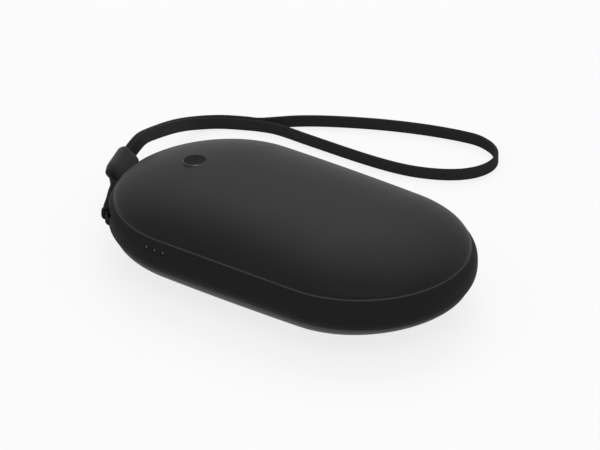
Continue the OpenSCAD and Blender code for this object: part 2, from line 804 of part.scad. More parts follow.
function battery_route(side) = concat(
  [for (p = battery_lead_route) [p[0], side * battery_lead_y, p[1] + mid_z]],
  [[battery_lead_route[len(battery_lead_route) - 1][0], side * battery_lead_y, board_top + mid_z]]);

module battery_lead_positive() {
  color("red") tube(battery_route(1), lead_d / 2, lead_sides, [0, 1, 0]);
}

module battery_lead_negative() {
  color("black") tube(battery_route(-1), lead_d / 2, lead_sides, [0, 1, 0]);
}

// Film that follows the inside of a shell, trimmed to a rounded rectangle
module heater_film() {
  upper = [for (a = crown_to(film_last_angle, film_steps))
    dome_ring(inner_r, seam_z - glue_gap, inner_rise, a)];
  lower = [for (a = backwards(crown_to(film_last_angle, film_steps)))
    dome_ring(inner_r, seam_z - glue_gap - film_t, inner_rise, a)];
  intersection() {
    stacked(concat(upper, lower));
    translate([film_left_x, -film_size[1] / 2, 0]) linear_extrude(mid_z + dome_height)
      rounded_rect(film_size, film_corner);
  }
}

module heater_film_top() {
  color(film_colour) lifted() heater_film();
}

module heater_film_bottom() {
  color(film_colour) lifted() mirror([0, 0, 1]) heater_film();
}

// Foam between a flat face at a height and the film
module foam_pad(bottom) {
  intersection() {
    stacked(concat([for (a = crown_to(90, inner_steps))
      dome_ring(inner_r, seam_z - glue_gap - film_t - foam_gap, inner_rise, a)],
      [flat_ring(inner_r, 0)]));
    translate([foam_left_x, -foam_size[1] / 2, bottom])
      cube([foam_size[0], foam_size[1], dome_height + seam_z]);
  }
}

module foam_pad_top() {
  color(foam_colour) lifted() foam_pad(cell_floor_z + 2 * cell_thickness + cell_gap);
}

module foam_pad_bottom() {
  color(foam_colour) lifted() mirror([0, 0, 1]) foam_pad(cradle_floor_t - cradle_floor_top);
}

function film_face(at) = inner_height(at[0], at[1]) - glue_gap - film_t;

module thermistor() {
  translate([bead_at[0], bead_at[1], film_face(bead_at) - bead_gap - bead_d / 2]) rotate([0, 90, 0])
    translate([0, 0, -bead_length / 2]) cylinder(d = bead_d, h = bead_length, $fn = small_fn);
}

module thermistor_top() {
  color(chip_colour) lifted() thermistor();
}

module thermistor_bottom() {
  color(chip_colour) lifted() mirror([0, 0, 1]) thermistor();
}

// Twin lead between a face of the board and a film or a bead, bowed a little on its way
function rising_route(at, low, high) = [for (s = lead_shares)
  [at[0] - lead_bow * s[1], at[1], low + (high - low) * s[0] + mid_z]];

function lead_end(at) = film_face(at) - fit_gap;

module rising_lead(at, low, high) {
  tube(rising_route(at, low, high), lead_d / 2, lead_sides, [0, 1, 0]);
}

module heater_lead_top() {
  color("white") rising_lead(heater_lead_at, board_top, lead_end(heater_lead_at));
}

module heater_lead_bottom() {
  color("white") rising_lead(heater_lead_at, -lead_end(heater_lead_at), board_bottom);
}

module sensor_lead_top() {
  color("gray") rising_lead(sensor_lead_at, board_top, lead_end(sensor_lead_at));
}

module sensor_lead_bottom() {
  color("gray") rising_lead(sensor_lead_at, -lead_end(sensor_lead_at), board_bottom);
}

// Cross-head screw whose head rests on height z
module screw(z) {
  translate([0, 0, z]) difference() {
    union() {
      cylinder(d = screw_head_d, h = screw_head_h, $fn = small_fn);
      translate([0, 0, -screw_length]) cylinder(d = screw_d, h = screw_length, $fn = small_fn);
    }
    for (turn = [0, 90]) rotate([0, 0, turn])
      translate([-cross_span / 2, -cross_width / 2, screw_head_h - cross_depth])
        cube([cross_span, cross_width, cross_depth + over]);
  }
}

module frame_screws() {
  color(metal_colour) lifted() {
    lug_places() {
      screw(board_top);
      screw(board_bottom + ear_t);
    }
    for (side = [-1, 1]) translate([left_ear_x, side * left_ear_y, 0]) screw(board_top);
  }
}

function on_left(angle, out) = [-end_x - out * cos(angle), -out * sin(angle)];

function run_point(p, side) = concat(on_left(p[0], band_r + p[1] + side * p[3] * sin(p[4])),
  mid_z + p[2] + side * p[3] * cos(p[4]));

function hitch_point(p, side) =
  let (out = [-cos(post_angle), -sin(post_angle)], across = [sin(post_angle), -cos(post_angle)])
  concat(on_left(post_angle, post_r_place) + p[0] * across + p[1] * out,
    mid_z + p[3] + side * p[2]);

function strand(side) = concat([for (p = cord_run) run_point(p, side)],
  [for (p = cord_hitch) hitch_point(p, side)]);

module lanyard_cord() {
  route = concat(strand(1), [hitch_point(cord_bight, 1)], backwards(strand(-1)));
  color(strap_colour) tube(route, cord_d / 2, cord_sides, [0, 0, 1]);
}

module at_tip() {
  translate([-body_length / 2 - strap_tip_x, 0, 0]) children();
}

module keeper_frame() {
  at_tip() translate(keeper_at) rotate([0, 0, keeper_yaw]) rotate([keeper_pitch, 0, 0])
    rotate([0, -keeper_roll, 0]) children();
}

// Side or plan of the keeper, drawn in at the end where the cord goes in
module keeper_side(height) {
  half = height / 2;
  offset(r = keeper_round, $fn = small_fn) offset(delta = -keeper_round)
    polygon([[-keeper_length / 2, -half + keeper_taper], [-keeper_length / 4, -half],
      [keeper_length / 2, -half], [keeper_length / 2, half], [-keeper_length / 4, half],
      [-keeper_length / 2, half - keeper_taper]]);
}

module strap_keeper() {
  color(strap_colour) keeper_frame() rotate([0, 0, 90]) intersection() {
    translate([0, 0, -keeper_height]) linear_extrude(2 * keeper_height)
      keeper_side(keeper_thickness);
    rotate([90, 0, 0]) translate([0, 0, -keeper_height]) linear_extrude(2 * keeper_height)
      keeper_side(keeper_height);
  }
}

// Directions of the strap at a point: across its thickness, after its lean
function strap_side(t, lean) = let (s = unit(cross(t, [0, 0, 1])), u = cross(s, t))
  cos(lean) * s + sin(lean) * u;

function pair_run(side) = [for (i = [0 : len(strap_pair) - 1])
  let (p = [for (q = strap_pair) [q[0], q[1], q[2]]], s = strap_side(heading(p, i), strap_pair[i][3]))
  p[i] + side * (strap_thickness + strap_gap) / 2 * s];

module wrist_strap() {
  leans = [for (p = strap_pair) p[3]];
  route = concat(pair_run(1), strap_loop, backwards(pair_run(-1)));
  lean = concat(leans, [for (p = strap_loop) 0], -backwards(leans));
  h = strap_thickness / 2;
  w = strap_width / 2;
  section = [[h, w - strap_edge], [h - strap_edge, w], [strap_edge - h, w], [-h, w - strap_edge],
    [-h, strap_edge - w], [strap_edge - h, -w], [h - strap_edge, -w], [h, strap_edge - w]];
  points = [for (i = [0 : len(route) - 1]) let (t = heading(route, i), s = strap_side(t, lean[i]),
    u = cross(s, t)) for (q = section) route[i] + q[0] * s + q[1] * u];
  color(strap_colour) at_tip() tube_solid(points, len(route), len(section));
}

top_shell();
bottom_shell();
band();
button_ring();
power_button();
switch_body();
switch_plunger();
main_board();
control_chip();
charge_chip();
heater_driver_top();
heater_driver_bottom();
led_left();
led_middle();
led_right();
light_pipe();
usb_port_shell();
usb_port_tongue();
battery_cell_upper();
battery_cell_lower();
battery_tab_positive();
battery_tab_negative();
protection_board();
battery_cradle();
battery_lead_positive();
battery_lead_negative();
heater_film_top();
heater_film_bottom();
thermistor_top();
thermistor_bottom();
foam_pad_top();
foam_pad_bottom();
heater_lead_top();
heater_lead_bottom();
sensor_lead_top();
sensor_lead_bottom();
frame_screws();
lanyard_cord();
strap_keeper();
wrist_strap();
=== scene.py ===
# %% [markdown]
# # A rechargeable hand warmer on a white table
# The packed model is loaded first and works as a fixed frame: it says where every piece is, and which of
# them move. This script then gives each piece its look. Pieces whose outline shows are made again here
# with finer curves, in the places that the frame gives, and the others keep the frame's own mesh and get
# a finish of their own.

# %% Load the frame
import bpy
import bmesh
import json
import math
from mathutils import Matrix, Vector


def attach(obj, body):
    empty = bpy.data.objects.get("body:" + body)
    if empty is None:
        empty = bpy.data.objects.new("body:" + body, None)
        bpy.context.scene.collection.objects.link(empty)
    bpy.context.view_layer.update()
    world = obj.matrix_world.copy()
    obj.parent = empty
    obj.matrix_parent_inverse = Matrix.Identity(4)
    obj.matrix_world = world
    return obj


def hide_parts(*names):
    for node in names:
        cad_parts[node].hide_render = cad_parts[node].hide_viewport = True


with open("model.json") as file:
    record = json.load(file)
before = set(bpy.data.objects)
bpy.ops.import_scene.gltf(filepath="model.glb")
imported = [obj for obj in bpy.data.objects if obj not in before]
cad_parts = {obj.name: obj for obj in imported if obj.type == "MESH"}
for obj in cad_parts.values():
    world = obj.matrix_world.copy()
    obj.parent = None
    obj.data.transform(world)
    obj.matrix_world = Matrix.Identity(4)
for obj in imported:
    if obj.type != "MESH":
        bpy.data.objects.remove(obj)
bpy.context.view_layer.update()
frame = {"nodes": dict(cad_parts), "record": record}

# %% [markdown]
# Blender counts in metres, but a hand warmer is easier to think of in millimetres, so sizes are written in
# millimetres here and turned into metres where a piece is made. The middle of the band is 13.55 mm above
# the table, and heights that belong to the body are counted from there.

# %% Sizes of the body, in millimetres
MM = 1000  # millimetres in a metre
HALF_W = 28.9  # half width at the seam between a shell and the band
HALF_L = 50.7  # half length at the seam
END_X = HALF_L - HALF_W  # where the round ends begin
SEAM = 4.5  # the seam's height above the middle of the band
MID = 13.55  # the middle of the band above the table
BULGE = 1.8  # how far the band swells past the seam
BAND_R = HALF_W + BULGE  # the band's greatest radius round an end
DOME = 9.2  # a shell's height above the seam
print("the body is", 2 * (HALF_L + BULGE), "x", 2 * BAND_R, "mm")

# %% [markdown]
# ## Making meshes
# Almost every piece here is a skin through rings of points: a shell through rings that shrink towards its
# crown, a button through rings round an axis, a cord through rings along its route. A ready cylinder or
# sphere could be pulled into shape, but rings put each edge exactly where a size says.

# %% Join rings of points into a skin
def skin(rings, closed_along=False, ends=True):
    """Faces between neighbouring rings, which all have the same number of points."""
    n, count = len(rings[0]), len(rings)
    points = [p for ring in rings for p in ring]
    faces = []
    for k in range(count if closed_along else count - 1):
        here, there = k * n, (k + 1) % count * n
        for i in range(n):
            j = (i + 1) % n
            faces.append((here + i, here + j, there + j, there + i))
    if ends and not closed_along:
        faces += [tuple(range(n))[::-1], tuple(range((count - 1) * n, count * n))]
    return points, faces


def circle(r, z=0, steps=64):
    """A ring of points round the Z axis."""
    turns = [2 * math.pi * i / steps for i in range(steps)]
    return [(r * math.cos(a), r * math.sin(a), z) for a in turns]


print("two rings of 8 points make", len(skin([circle(1, 0, 8), circle(1, 1, 8)])[1]), "faces")

# %% [markdown]
# A list of points and faces is not yet a good piece. Its faces may look inwards, and smooth shading would
# blur the real edges too. So each new mesh has its faces turned outwards, and edges sharper than an angle
# stay crisp. A bevel on every edge would do that as well, but it costs many faces on pieces this small.

# %% Turn points and faces into a piece
WELD = 1e-7  # points closer than this, in metres, are one
finish_of = {}  # the finish of each slot of the record, filled in further down


def mend_normals(obj, sharp=35):
    """Turns every face outwards, smooths the mesh, and keeps edges sharper than an angle crisp."""
    work = bmesh.new()
    work.from_mesh(obj.data)
    bmesh.ops.remove_doubles(work, verts=work.verts, dist=WELD)
    bmesh.ops.recalc_face_normals(work, faces=work.faces)
    work.to_mesh(obj.data)
    work.free()
    obj.data.shade_smooth()
    obj.data.set_sharp_from_angle(angle=math.radians(sharp))


def piece(name, points, faces, slot=None, node=None, body="case", uv=None, sharp=35):
    """A mesh in millimetres. With a slot it gets that finish and stands for a node of the frame."""
    mesh = bpy.data.meshes.new(name)
    mesh.from_pydata([[c / MM for c in p] for p in points], [], faces)
    if uv:
        layer = mesh.uv_layers.new(name="along_and_across")
        for loop in mesh.loops:
            layer.data[loop.index].uv = uv[loop.vertex_index]
    obj = bpy.data.objects.new(name, mesh)
    bpy.context.scene.collection.objects.link(obj)
    mend_normals(obj, sharp)
    if slot:
        mesh.materials.append(finish_of[slot])
        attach(obj, body)
        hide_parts(node)
        print(name, "has", len(mesh.polygons), "faces")
    return obj


print(f"points within {WELD * MM:g} mm are joined")

# %% [markdown]
# Holes are cut with Boolean modifiers. The rim of a hole could be stitched to the wall by hand, but a
# Boolean finds the curve where a round tool meets a domed wall by itself. The helper keeps its result as
# the piece's own mesh and throws the cutting tool away.

# %% Cut, join or trim a piece with another
def carve(obj, tool, operation="DIFFERENCE"):
    """The piece after a Boolean with a tool, which is then removed."""
    change = obj.modifiers.new("carve", "BOOLEAN")
    change.operation, change.object, change.solver = operation, tool, "EXACT"
    settled = bpy.context.evaluated_depsgraph_get()
    mesh = bpy.data.meshes.new_from_object(obj.evaluated_get(settled))
    obj.modifiers.clear()
    obj.data = mesh
    bpy.data.objects.remove(tool)
    return obj


def placed(points, matrix):
    """Points moved by a matrix."""
    return [tuple(matrix @ Vector(p)) for p in points]


def rod(r, length, matrix, steps=64):
    """A cylinder that starts at a matrix's origin and runs along its Z axis, for use as a tool."""
    points, faces = skin([circle(r, 0, steps), circle(r, length, steps)])
    return piece("tool", placed(points, matrix), faces)


print("a point placed 2 mm up:", placed([(0, 0, 0)], Matrix.Translation((0, 0, 2))))

# %% [markdown]
# ## Writing shaders as sums
# A material is a tree of nodes, and a long tree is hard to read. The class below wraps one output of a
# node. Adding or multiplying wrapped values adds the Math nodes by itself, so a pattern can be written as
# the formula that it is. Every other node comes from the one method called node.

# %% A value inside a material
class Shade:
    """One output of a node, with arithmetic."""

    def __init__(self, tree, socket=None):
        self.tree, self.socket = tree, socket

    def node(self, kind, values=None, out=0, **settings):
        """Adds a node: its settings first, then the value or the link of each socket."""
        made = self.tree.nodes.new(kind)
        for name, value in settings.items():
            setattr(made, name, value)
        for name, value in (values or {}).items():
            if isinstance(value, Shade):
                self.tree.links.new(value.socket, made.inputs[name])
            else:
                made.inputs[name].default_value = value
        return Shade(self.tree, made.outputs[out])

    def math(self, operation, *numbers):
        return self.node("ShaderNodeMath", dict(enumerate(numbers)), operation=operation)

    def __add__(self, other):
        return self.math("ADD", self, other)

    def __sub__(self, other):
        return self.math("SUBTRACT", self, other)

    def __rsub__(self, other):
        return self.math("SUBTRACT", other, self)

    def __mul__(self, other):
        return self.math("MULTIPLY", self, other)

    __radd__, __rmul__ = __add__, __mul__

    def most(self, other):
        """The larger of two values."""
        return self.math("MAXIMUM", self, other)

    def wave(self):
        """The sine of this value, in radians."""
        return self.math("SINE", self)

    def size(self):
        """This value without its sign."""
        return self.math("ABSOLUTE", self)

    def between(self, low, high):
        """0 below the first value, 1 above the second, and smooth in between."""
        return self.node("ShaderNodeMapRange", {"Value": self, "From Min": low, "From Max": high},
                         interpolation_type="SMOOTHSTEP")

    def blend(self, low, high):
        """A colour from low to high as this value goes from 0 to 1."""
        return self.node("ShaderNodeMix", {0: self, 6: low, 7: high}, out=2, data_type="RGBA")

    def noise(self, scale, detail=3):
        """Soft random patches, with so many to the metre."""
        return self.node("ShaderNodeTexNoise", {"Vector": self, "Scale": scale, "Detail": detail})

    def cells(self, scale, feature="F1"):
        """The distance from the nearest, or the second nearest, of so many scattered points to the metre."""
        return self.node("ShaderNodeTexVoronoi", {"Vector": self, "Scale": scale}, out="Distance",
                         feature=feature)

    def axes(self):
        """The three parts of this place."""
        parts = self.node("ShaderNodeSeparateXYZ", {"Vector": self})
        return [Shade(self.tree, s) for s in parts.socket.node.outputs]


print("a Shade knows", [name for name in vars(Shade) if name[0] != "_"])

# %% [markdown]
# Every finish starts from the Principled shader, which holds a whole surface in one node. What is the same
# all over is set on its own sockets. What varies is worked out from the place on the object, so no picture
# has to be wrapped round a dome. Grain goes in as a bump, because a real grain of hundredths of a
# millimetre would need millions of faces.

# %% Start a finish, and join its parts
def grey(level):
    """A neutral colour."""
    return (level, level, level, 1)


def finish(slot, name, fixed, paint):
    """A slot's material: fixed values go on the shader's own sockets, and paint adds what varies."""
    material = bpy.data.materials.new(name)
    material.use_nodes = True
    tree = material.node_tree
    shader = tree.nodes["Principled BSDF"]
    for socket, value in fixed.items():
        shader.inputs[socket].default_value = value
    for socket, value in paint(Shade(tree)).items():
        tree.links.new(value.socket, shader.inputs[socket])
    finish_of[slot] = material
    print(name, "is a tree of", len(tree.nodes), "nodes")


def place_of(start):
    """The place on the object, in metres."""
    return start.node("ShaderNodeTexCoord", out="Object")


def body_height(place, low, high):
    """0 below one height over the band's middle, in millimetres, and 1 above another."""
    return place.axes()[2].between((MID + low) / MM, (MID + high) / MM)


def bump(height, depth, strength):
    """A Normal from a height that runs from 0 to 1, where 1 stands so many millimetres proud."""
    return height.node("ShaderNodeBump", {"Height": height, "Distance": depth / MM, "Strength": strength},
                       out="Normal")


def even_paint(dark, light, rough, uneven=0.12, grain_scale=3600, cloud_scale=180, depth=0.012, detail=3):
    """An even finish: slow changes of tone, a shine that is a little uneven, and a fine grain."""
    def paint(start):
        place = place_of(start)
        grain, cloud = place.noise(grain_scale, detail), place.noise(cloud_scale, 2)
        return {
            "Base Color": cloud.blend(dark, light),
            "Roughness": rough + uneven * grain,
            "Normal": bump(grain, depth, 0.5),
        }
    return paint


print("a middle grey is", grey(0.5))

# %% [markdown]
# ## The camera
# The camera stands where the photograph's camera was found to be: 36.5 degrees round from the front,
# 29.1 degrees up, and far away with a long lens, because the body's far edge is hardly smaller than its
# near one. A camera without perspective would be simpler and nearly the same. The small steps to the right
# and up put the body at the same place in the picture.

# %% Place the camera
AZIMUTH, ELEVATION = math.radians(36.5), math.radians(29.08)
FAR, TO_RIGHT, UPWARDS = 3300, 2.07, 2.86  # millimetres, as are the next two
LENS, SENSOR = 760.9, 36
back = Vector((
    math.sin(AZIMUTH) * math.cos(ELEVATION), -math.cos(AZIMUTH) * math.cos(ELEVATION), math.sin(ELEVATION),
))
right = Vector((math.cos(AZIMUTH), math.sin(AZIMUTH), 0))
up = back.cross(right)
camera = bpy.data.objects.new("camera", bpy.data.cameras.new("camera"))
bpy.context.scene.collection.objects.link(camera)
camera.data.lens, camera.data.sensor_width = LENS, SENSOR
camera.data.clip_start, camera.data.clip_end = 0.1, 50
stand = Vector((0, 0, MID)) + FAR * back + TO_RIGHT * right + UPWARDS * up
camera.matrix_world = Matrix.Translation(stand / MM) @ Matrix((right, up, back)).transposed().to_4x4()
bpy.context.scene.camera = camera
print("camera at", [round(c, 3) for c in camera.matrix_world.translation])

# %% [markdown]
# ## The table and the light
# The photograph has a white ground and soft light from all round. A white floor under plain light still
# comes out grey, and more light to whiten it would bleach the body. So the floor is mixed with plain white
# for what the camera sees, straight or mirrored, and keeps a soft shadow in the rest of the mix.

# %% Lay the floor
FLOOR_R = 6  # metres
WHITE_SHARE = 0.8


def seen_or_mirrored(start):
    """1 for what the camera sees, straight or in a mirror or through glass, and 0 for plain light."""
    kinds = ("Camera", "Glossy", "Transmission")
    camera_ray, glossy, through_glass = [start.node("ShaderNodeLightPath", out=f"Is {k} Ray") for k in kinds]
    return camera_ray.most(glossy).most(through_glass)


def floor_paint(start):
    patches = place_of(start).noise(6, 2)
    return {"Base Color": patches.blend(grey(0.95), grey(0.97))}


finish("floor", "white_table", {"Roughness": 0.9, "Specular IOR Level": 0.1}, floor_paint)
floor_tree = finish_of["floor"].node_tree
start = Shade(floor_tree)
paper = Shade(floor_tree, floor_tree.nodes["Principled BSDF"].outputs[0])
white = start.node("ShaderNodeEmission", {"Color": grey(1.0), "Strength": 1.0})
shown = start.node("ShaderNodeMixShader", {0: WHITE_SHARE * seen_or_mirrored(start), 1: paper, 2: white})
floor_tree.links.new(shown.socket, floor_tree.nodes["Material Output"].inputs["Surface"])
floor_edge = circle(FLOOR_R * MM, 0, 96)
floor = piece("floor", floor_edge, [tuple(range(len(floor_edge)))])
floor.data.materials.append(finish_of["floor"])
print("floor", 2 * FLOOR_R, "m across")

# %% [markdown]
# A dark satin object is drawn mostly by what it mirrors, and here it mirrors white everywhere: its far
# side, seen at a slant, mirrors more of it than the side that faces the camera. So the world is white for
# the camera and for reflections, and gives half of the plain light. Two wide lamps give the other half. One
# small lamp would draw a hot spot on each dome, which the photograph doesn't have.

# %% Light the scene
LAMP_SIDE = 1.6  # metres
LAMP_AIM = Vector((0, 0.02, 0))
world = bpy.data.worlds.new("studio")
bpy.context.scene.world = world
world.use_nodes = True
strength = 0.5 + 0.5 * seen_or_mirrored(Shade(world.node_tree))
background = world.node_tree.nodes["Background"]
background.inputs["Color"].default_value = grey(1)
world.node_tree.links.new(strength.socket, background.inputs["Strength"])


def lamp(name, place, watts):
    """A wide soft box at a place in metres, turned to the object."""
    data = bpy.data.lights.new(name, "AREA")
    data.shape, data.size, data.size_y, data.energy = "RECTANGLE", LAMP_SIDE, LAMP_SIDE, watts
    obj = bpy.data.objects.new(name, data)
    bpy.context.scene.collection.objects.link(obj)
    obj.location = place
    obj.rotation_mode = "QUATERNION"
    obj.rotation_quaternion = (LAMP_AIM - Vector(place)).to_track_quat("-Z", "Y")


lamp("key", (-0.9, 1.3, 1.9), 19)
lamp("fill", (1.0, -1.0, 2.1), 14)
bpy.context.scene.view_settings.view_transform = "Standard"
print("2 lamps and a white world")

# %% [markdown]
# ## Finishes that show
# The shells are dark satin paint over metal. The grain is too fine to see as dots, so it only breaks up the
# shine. Slow clouds of tone keep the wide dome from looking like plastic film. The edge that meets the band
# is painted lighter, a painted highlight along the seam, and the lower shell is painted a shade lighter than
# the upper one, which is painted light reflected up from the white floor. Both shells could have a material
# each, but one that asks for the height keeps them alike.

# %% Satin shells
RIM_FROM, RIM_TO = SEAM + 0.1, SEAM + 0.3
UNDER_FROM = -5.2  # heights over the band's middle


def shell_paint(start):
    place = place_of(start)
    grain, cloud = place.noise(5200, 2), place.noise(55, 3)
    # painted highlight: the edge of the shell at the seam is painted lighter
    rim_highlight, floor_lit_share = 1 - body_height(place, RIM_FROM, RIM_TO), 1 - body_height(place, UNDER_FROM, 0)
    upper_tone = rim_highlight.blend(cloud.blend(grey(0.0125), grey(0.0155)), grey(0.075))
    # painted light: the whole lower shell is painted lighter, standing in for light reflected up from the
    # white floor
    floor_lit_tone = cloud.blend(grey(0.078), grey(0.088))
    return {
        "Base Color": floor_lit_share.blend(upper_tone, floor_lit_tone),
        "Roughness": 0.38 + 0.06 * cloud + 0.04 * grain,
        "Normal": bump(grain, 0.012, 0.5),
    }


finish("shell", "satin_shell", {"Specular IOR Level": 0.067}, shell_paint)

# %% [markdown]
# The band is moulded in nearly black plastic with the fine sparkle of an etched mould. Handling has rubbed
# its upper lip smoother, and the lip is also painted lighter, a painted highlight along the seam. A separate
# piece for that lip would show a joint that isn't there, so the height alone tells the finish where it is.

# %% Moulded band
LIP_FROM, LIP_TO = 4.18, 4.32


def band_paint(start):
    place = place_of(start)
    spark, cloud = place.noise(4200, 4), place.noise(40, 2)
    # painted highlight: the band's upper lip is painted lighter along the seam
    lip_highlight = body_height(place, LIP_FROM, LIP_TO)
    return {
        "Base Color": lip_highlight.blend(cloud.blend(grey(0.0145), grey(0.017)), grey(0.06)),
        "Roughness": 0.55 + 0.1 * spark - 0.15 * lip_highlight,
        "Normal": bump(spark, 0.02, 0.6),
    }


finish("band", "moulded_band", {"Specular IOR Level": 0.03}, band_paint)

# %% [markdown]
# The button's cap is matt and black, and its ring is dark polished metal, so a metal shader with a dark
# colour and a low roughness suits it better than grey paint. Behind the three small holes sits frosted
# plastic, unlit, whose uneven frost makes each end look milky.

# %% Button, trim ring and lights
def light_paint(start):
    frost = place_of(start).noise(3500, 3)
    return {
        "Base Color": frost.blend((0.05, 0.051, 0.054, 1), (0.08, 0.082, 0.086, 1)),
        "Roughness": 0.25 + 0.2 * frost,
        "Normal": bump(frost, 0.01, 0.5),
    }


cap_paint = even_paint(grey(0.012), grey(0.015), 0.6, 0.12, 6000, 300, 0.008, 2)
ring_paint = even_paint(grey(0.055), grey(0.07), 0.26, 0.12, 9000, 900, 0.004, 2)
finish("button_cap", "button_cap", {"Specular IOR Level": 0.03}, cap_paint)
finish("trim_ring", "trim_ring", {"Metallic": 1.0}, ring_paint)
finish("clear_plastic", "frosted_light", {"Specular IOR Level": 0.4}, light_paint)

# %% [markdown]
# The strap is a flat woven ribbon and the lanyard a thin braid. Both carry a map with the distance along
# the piece and the distance across it, in millimetres, so their threads follow every bend, which a pattern
# worked out from the place alone could not. A weave is two sets of rounded threads that take turns to be
# on top, and a braid is two sets that cross aslant.

# %% Woven ribbon and braided cord
THREADS = 9.0  # radians of the threads' wave in a millimetre: a thread is 0.35 mm wide
BRAID_ALONG = 6.0  # the same along the braid, whose strands run aslant


def map_of(start):
    """The distances along and across the piece, in millimetres."""
    return start.node("ShaderNodeUVMap", uv_map="along_and_across").axes()[:2]


def ribbon_paint(start):
    along, across = map_of(start)
    weft, warp = (along * THREADS).wave(), (across * THREADS).wave()
    turn_on_top = (weft * warp).between(-0.15, 0.15)
    thread = turn_on_top * weft.size() + (1 - turn_on_top) * warp.size()
    fuzz = place_of(start).noise(2600, 4)
    return {
        "Base Color": (0.6 * thread + 0.4 * fuzz).blend(grey(0.013), grey(0.034)),
        "Roughness": 0.78 + 0.15 * fuzz,
        "Normal": bump(thread + 0.3 * fuzz, 0.05, 0.7),
    }


def braid_paint(start):
    along, across = map_of(start)
    leftwards = (along * BRAID_ALONG + across * THREADS).wave()
    rightwards = (along * BRAID_ALONG - across * THREADS).wave()
    strand = (leftwards * rightwards).between(-0.2, 0.2)
    fuzz = place_of(start).noise(3000, 3)
    return {
        "Base Color": (0.7 * strand + 0.3 * fuzz).blend(grey(0.011), grey(0.034)),
        "Roughness": 0.72 + 0.15 * fuzz,
        "Normal": bump(strand + 0.2 * fuzz, 0.04, 0.7),
    }


finish("ribbon", "woven_ribbon", {"Specular IOR Level": 0.05}, ribbon_paint)
finish("cord", "braided_cord", {"Specular IOR Level": 0.06}, braid_paint)

# %% [markdown]
# The keeper is moulded too. Its end at the ribbon is painted paler, as painted light where the light falls on
# its broad face, and the colour changes with the place along it.

# %% Keeper with painted light on its ribbon end
PAINTED_LIGHT_FROM, PAINTED_LIGHT_TO = -4.5, -1  # millimetres along the Y axis


def keeper_paint(start):
    place = place_of(start)
    grain, cloud = place.noise(3800, 4), place.noise(260, 2)
    # painted light: the keeper's end at the ribbon is painted paler, where light falls on its broad face
    painted_light_share = place.axes()[1].between(PAINTED_LIGHT_FROM / MM, PAINTED_LIGHT_TO / MM)
    plain_tone, painted_lit_tone = cloud.blend(grey(0.013), grey(0.017)), cloud.blend(grey(0.044), grey(0.052))
    return {
        "Base Color": painted_light_share.blend(plain_tone, painted_lit_tone),
        "Roughness": 0.5 + 0.12 * grain,
        "Normal": bump(grain, 0.02, 0.6),
    }


finish("keeper", "moulded_keeper", {"Specular IOR Level": 0.08}, keeper_paint)

# %% [markdown]
# ## Routes of the cords
# A curve that passes through all the points of a route, and is smooth there, is the Catmull-Rom curve:
# between two points it also looks at the one before and the one after, so the ribbon bends evenly and not
# in short straight steps. A curve object with a bevel could draw the same line, but a mesh of its own keeps
# the map of distances and the ribbon's lean in hand.

# %% A smooth curve through a list of points
def through(points, steps):
    """Points on a smooth curve that passes through all of these, in any number of dimensions."""
    ends = [points[0], *points, points[-1]]
    route = []
    for a, b, c, d in zip(ends, ends[1:], ends[2:], ends[3:]):
        for t in (i / steps for i in range(steps)):
            route.append([
                0.5 * (2 * q + (r - p) * t + (2 * p - 5 * q + 4 * r - s) * t ** 2
                       + (3 * q - p - 3 * r + s) * t ** 3)
                for p, q, r, s in zip(a, b, c, d)
            ])
    return route + [list(points[-1])]


def length_of(route):
    """Length of a route, in its own unit."""
    return sum((Vector(b[:3]) - Vector(a[:3])).length for a, b in zip(route, route[1:]))


def headings(route):
    """Direction of travel at each point."""
    before, after = [route[0], *route[:-1]], [*route[1:], route[-1]]
    return [(Vector(b[:3]) - Vector(a[:3])).normalized() for a, b in zip(before, after)]


print("a route of 3 points becomes", len(through([(0, 0), (1, 0), (1, 1)], 4)), "points")

# %% [markdown]
# ## The lanyard cord
# A loop of cord goes round a post in the band. Each strand passes in front of the post and back round it,
# and the bight, the closed end of the loop, lies over both strands and holds them. The points are those of
# the part's source, but for the strands just below the keeper, which lie a few tenths of a millimetre closer
# to the band here, as they do in the photograph.

# %% Points of the lanyard cord, in millimetres
POST_ANGLE, POST_R = math.radians(42.5), BAND_R - 2.4
# angle from the tip, distance out from the band, height of the pair's middle, half the strands' spacing,
# and how far the pair is turned from upright
cord_run = [
    (3.6, 4.1, 0.8, 0.55, 60), (6.5, 3.5, 0.5, 0.54, 55), (9.4, 2.4, 0.42, 0.54, 50),
    (12.6, 1.46, 0.31, 0.5, 45), (16.5, 1.04, 0.21, 0.52, 35), (21, 0.71, 0.1, 0.56, 16),
    (25.5, 0.57, 0.1, 0.58, 0), (30, 0.58, 0.15, 0.6, 0), (34.5, 0.68, 0.25, 0.6, 0),
]
# from the post's axis: across, outwards, half the strands' spacing, and the height of the pair's middle
cord_hitch = [
    (-2.9, 2.85, 0.6, 0.3), (-2.2, 2.5, 0.6, 0.3), (-1.5, 2.4, 0.6, 0.1), (-0.7, 2.6, 0.6, -0.2),
    (0.1, 2.7, 0.6, -0.4), (1, 2.4, 0.6, -0.5), (1.75, 1.5, 0.65, -0.45), (2, 0.3, 0.7, -0.3),
    (1.7, -0.9, 0.85, -0.15), (0.9, -1.6, 1, 0), (0, -1.85, 1.15, 0.05), (-1.1, -1.45, 1.3, 0.1),
    (-1.75, -0.6, 1.4, 0.2), (-2, 0.4, 1.5, 0.3), (-2.1, 1.5, 1.55, 0.35), (-2.1, 2.5, 1.55, 0.35),
    (-2.1, 3.1, 1.4, 0.35), (-2.1, 3.42, 1, 0.35), (-2.1, 3.5, 0.5, 0.35),
]
cord_bight = (-2.1, 3.5, 0, 0.35)


def run_point(p, side):
    """A point of one strand on its way round the band."""
    a, turned = math.radians(p[0]), math.radians(p[4])
    out = BAND_R + p[1] + side * p[3] * math.sin(turned)
    return (-END_X - out * math.cos(a), -out * math.sin(a), MID + p[2] + side * p[3] * math.cos(turned))


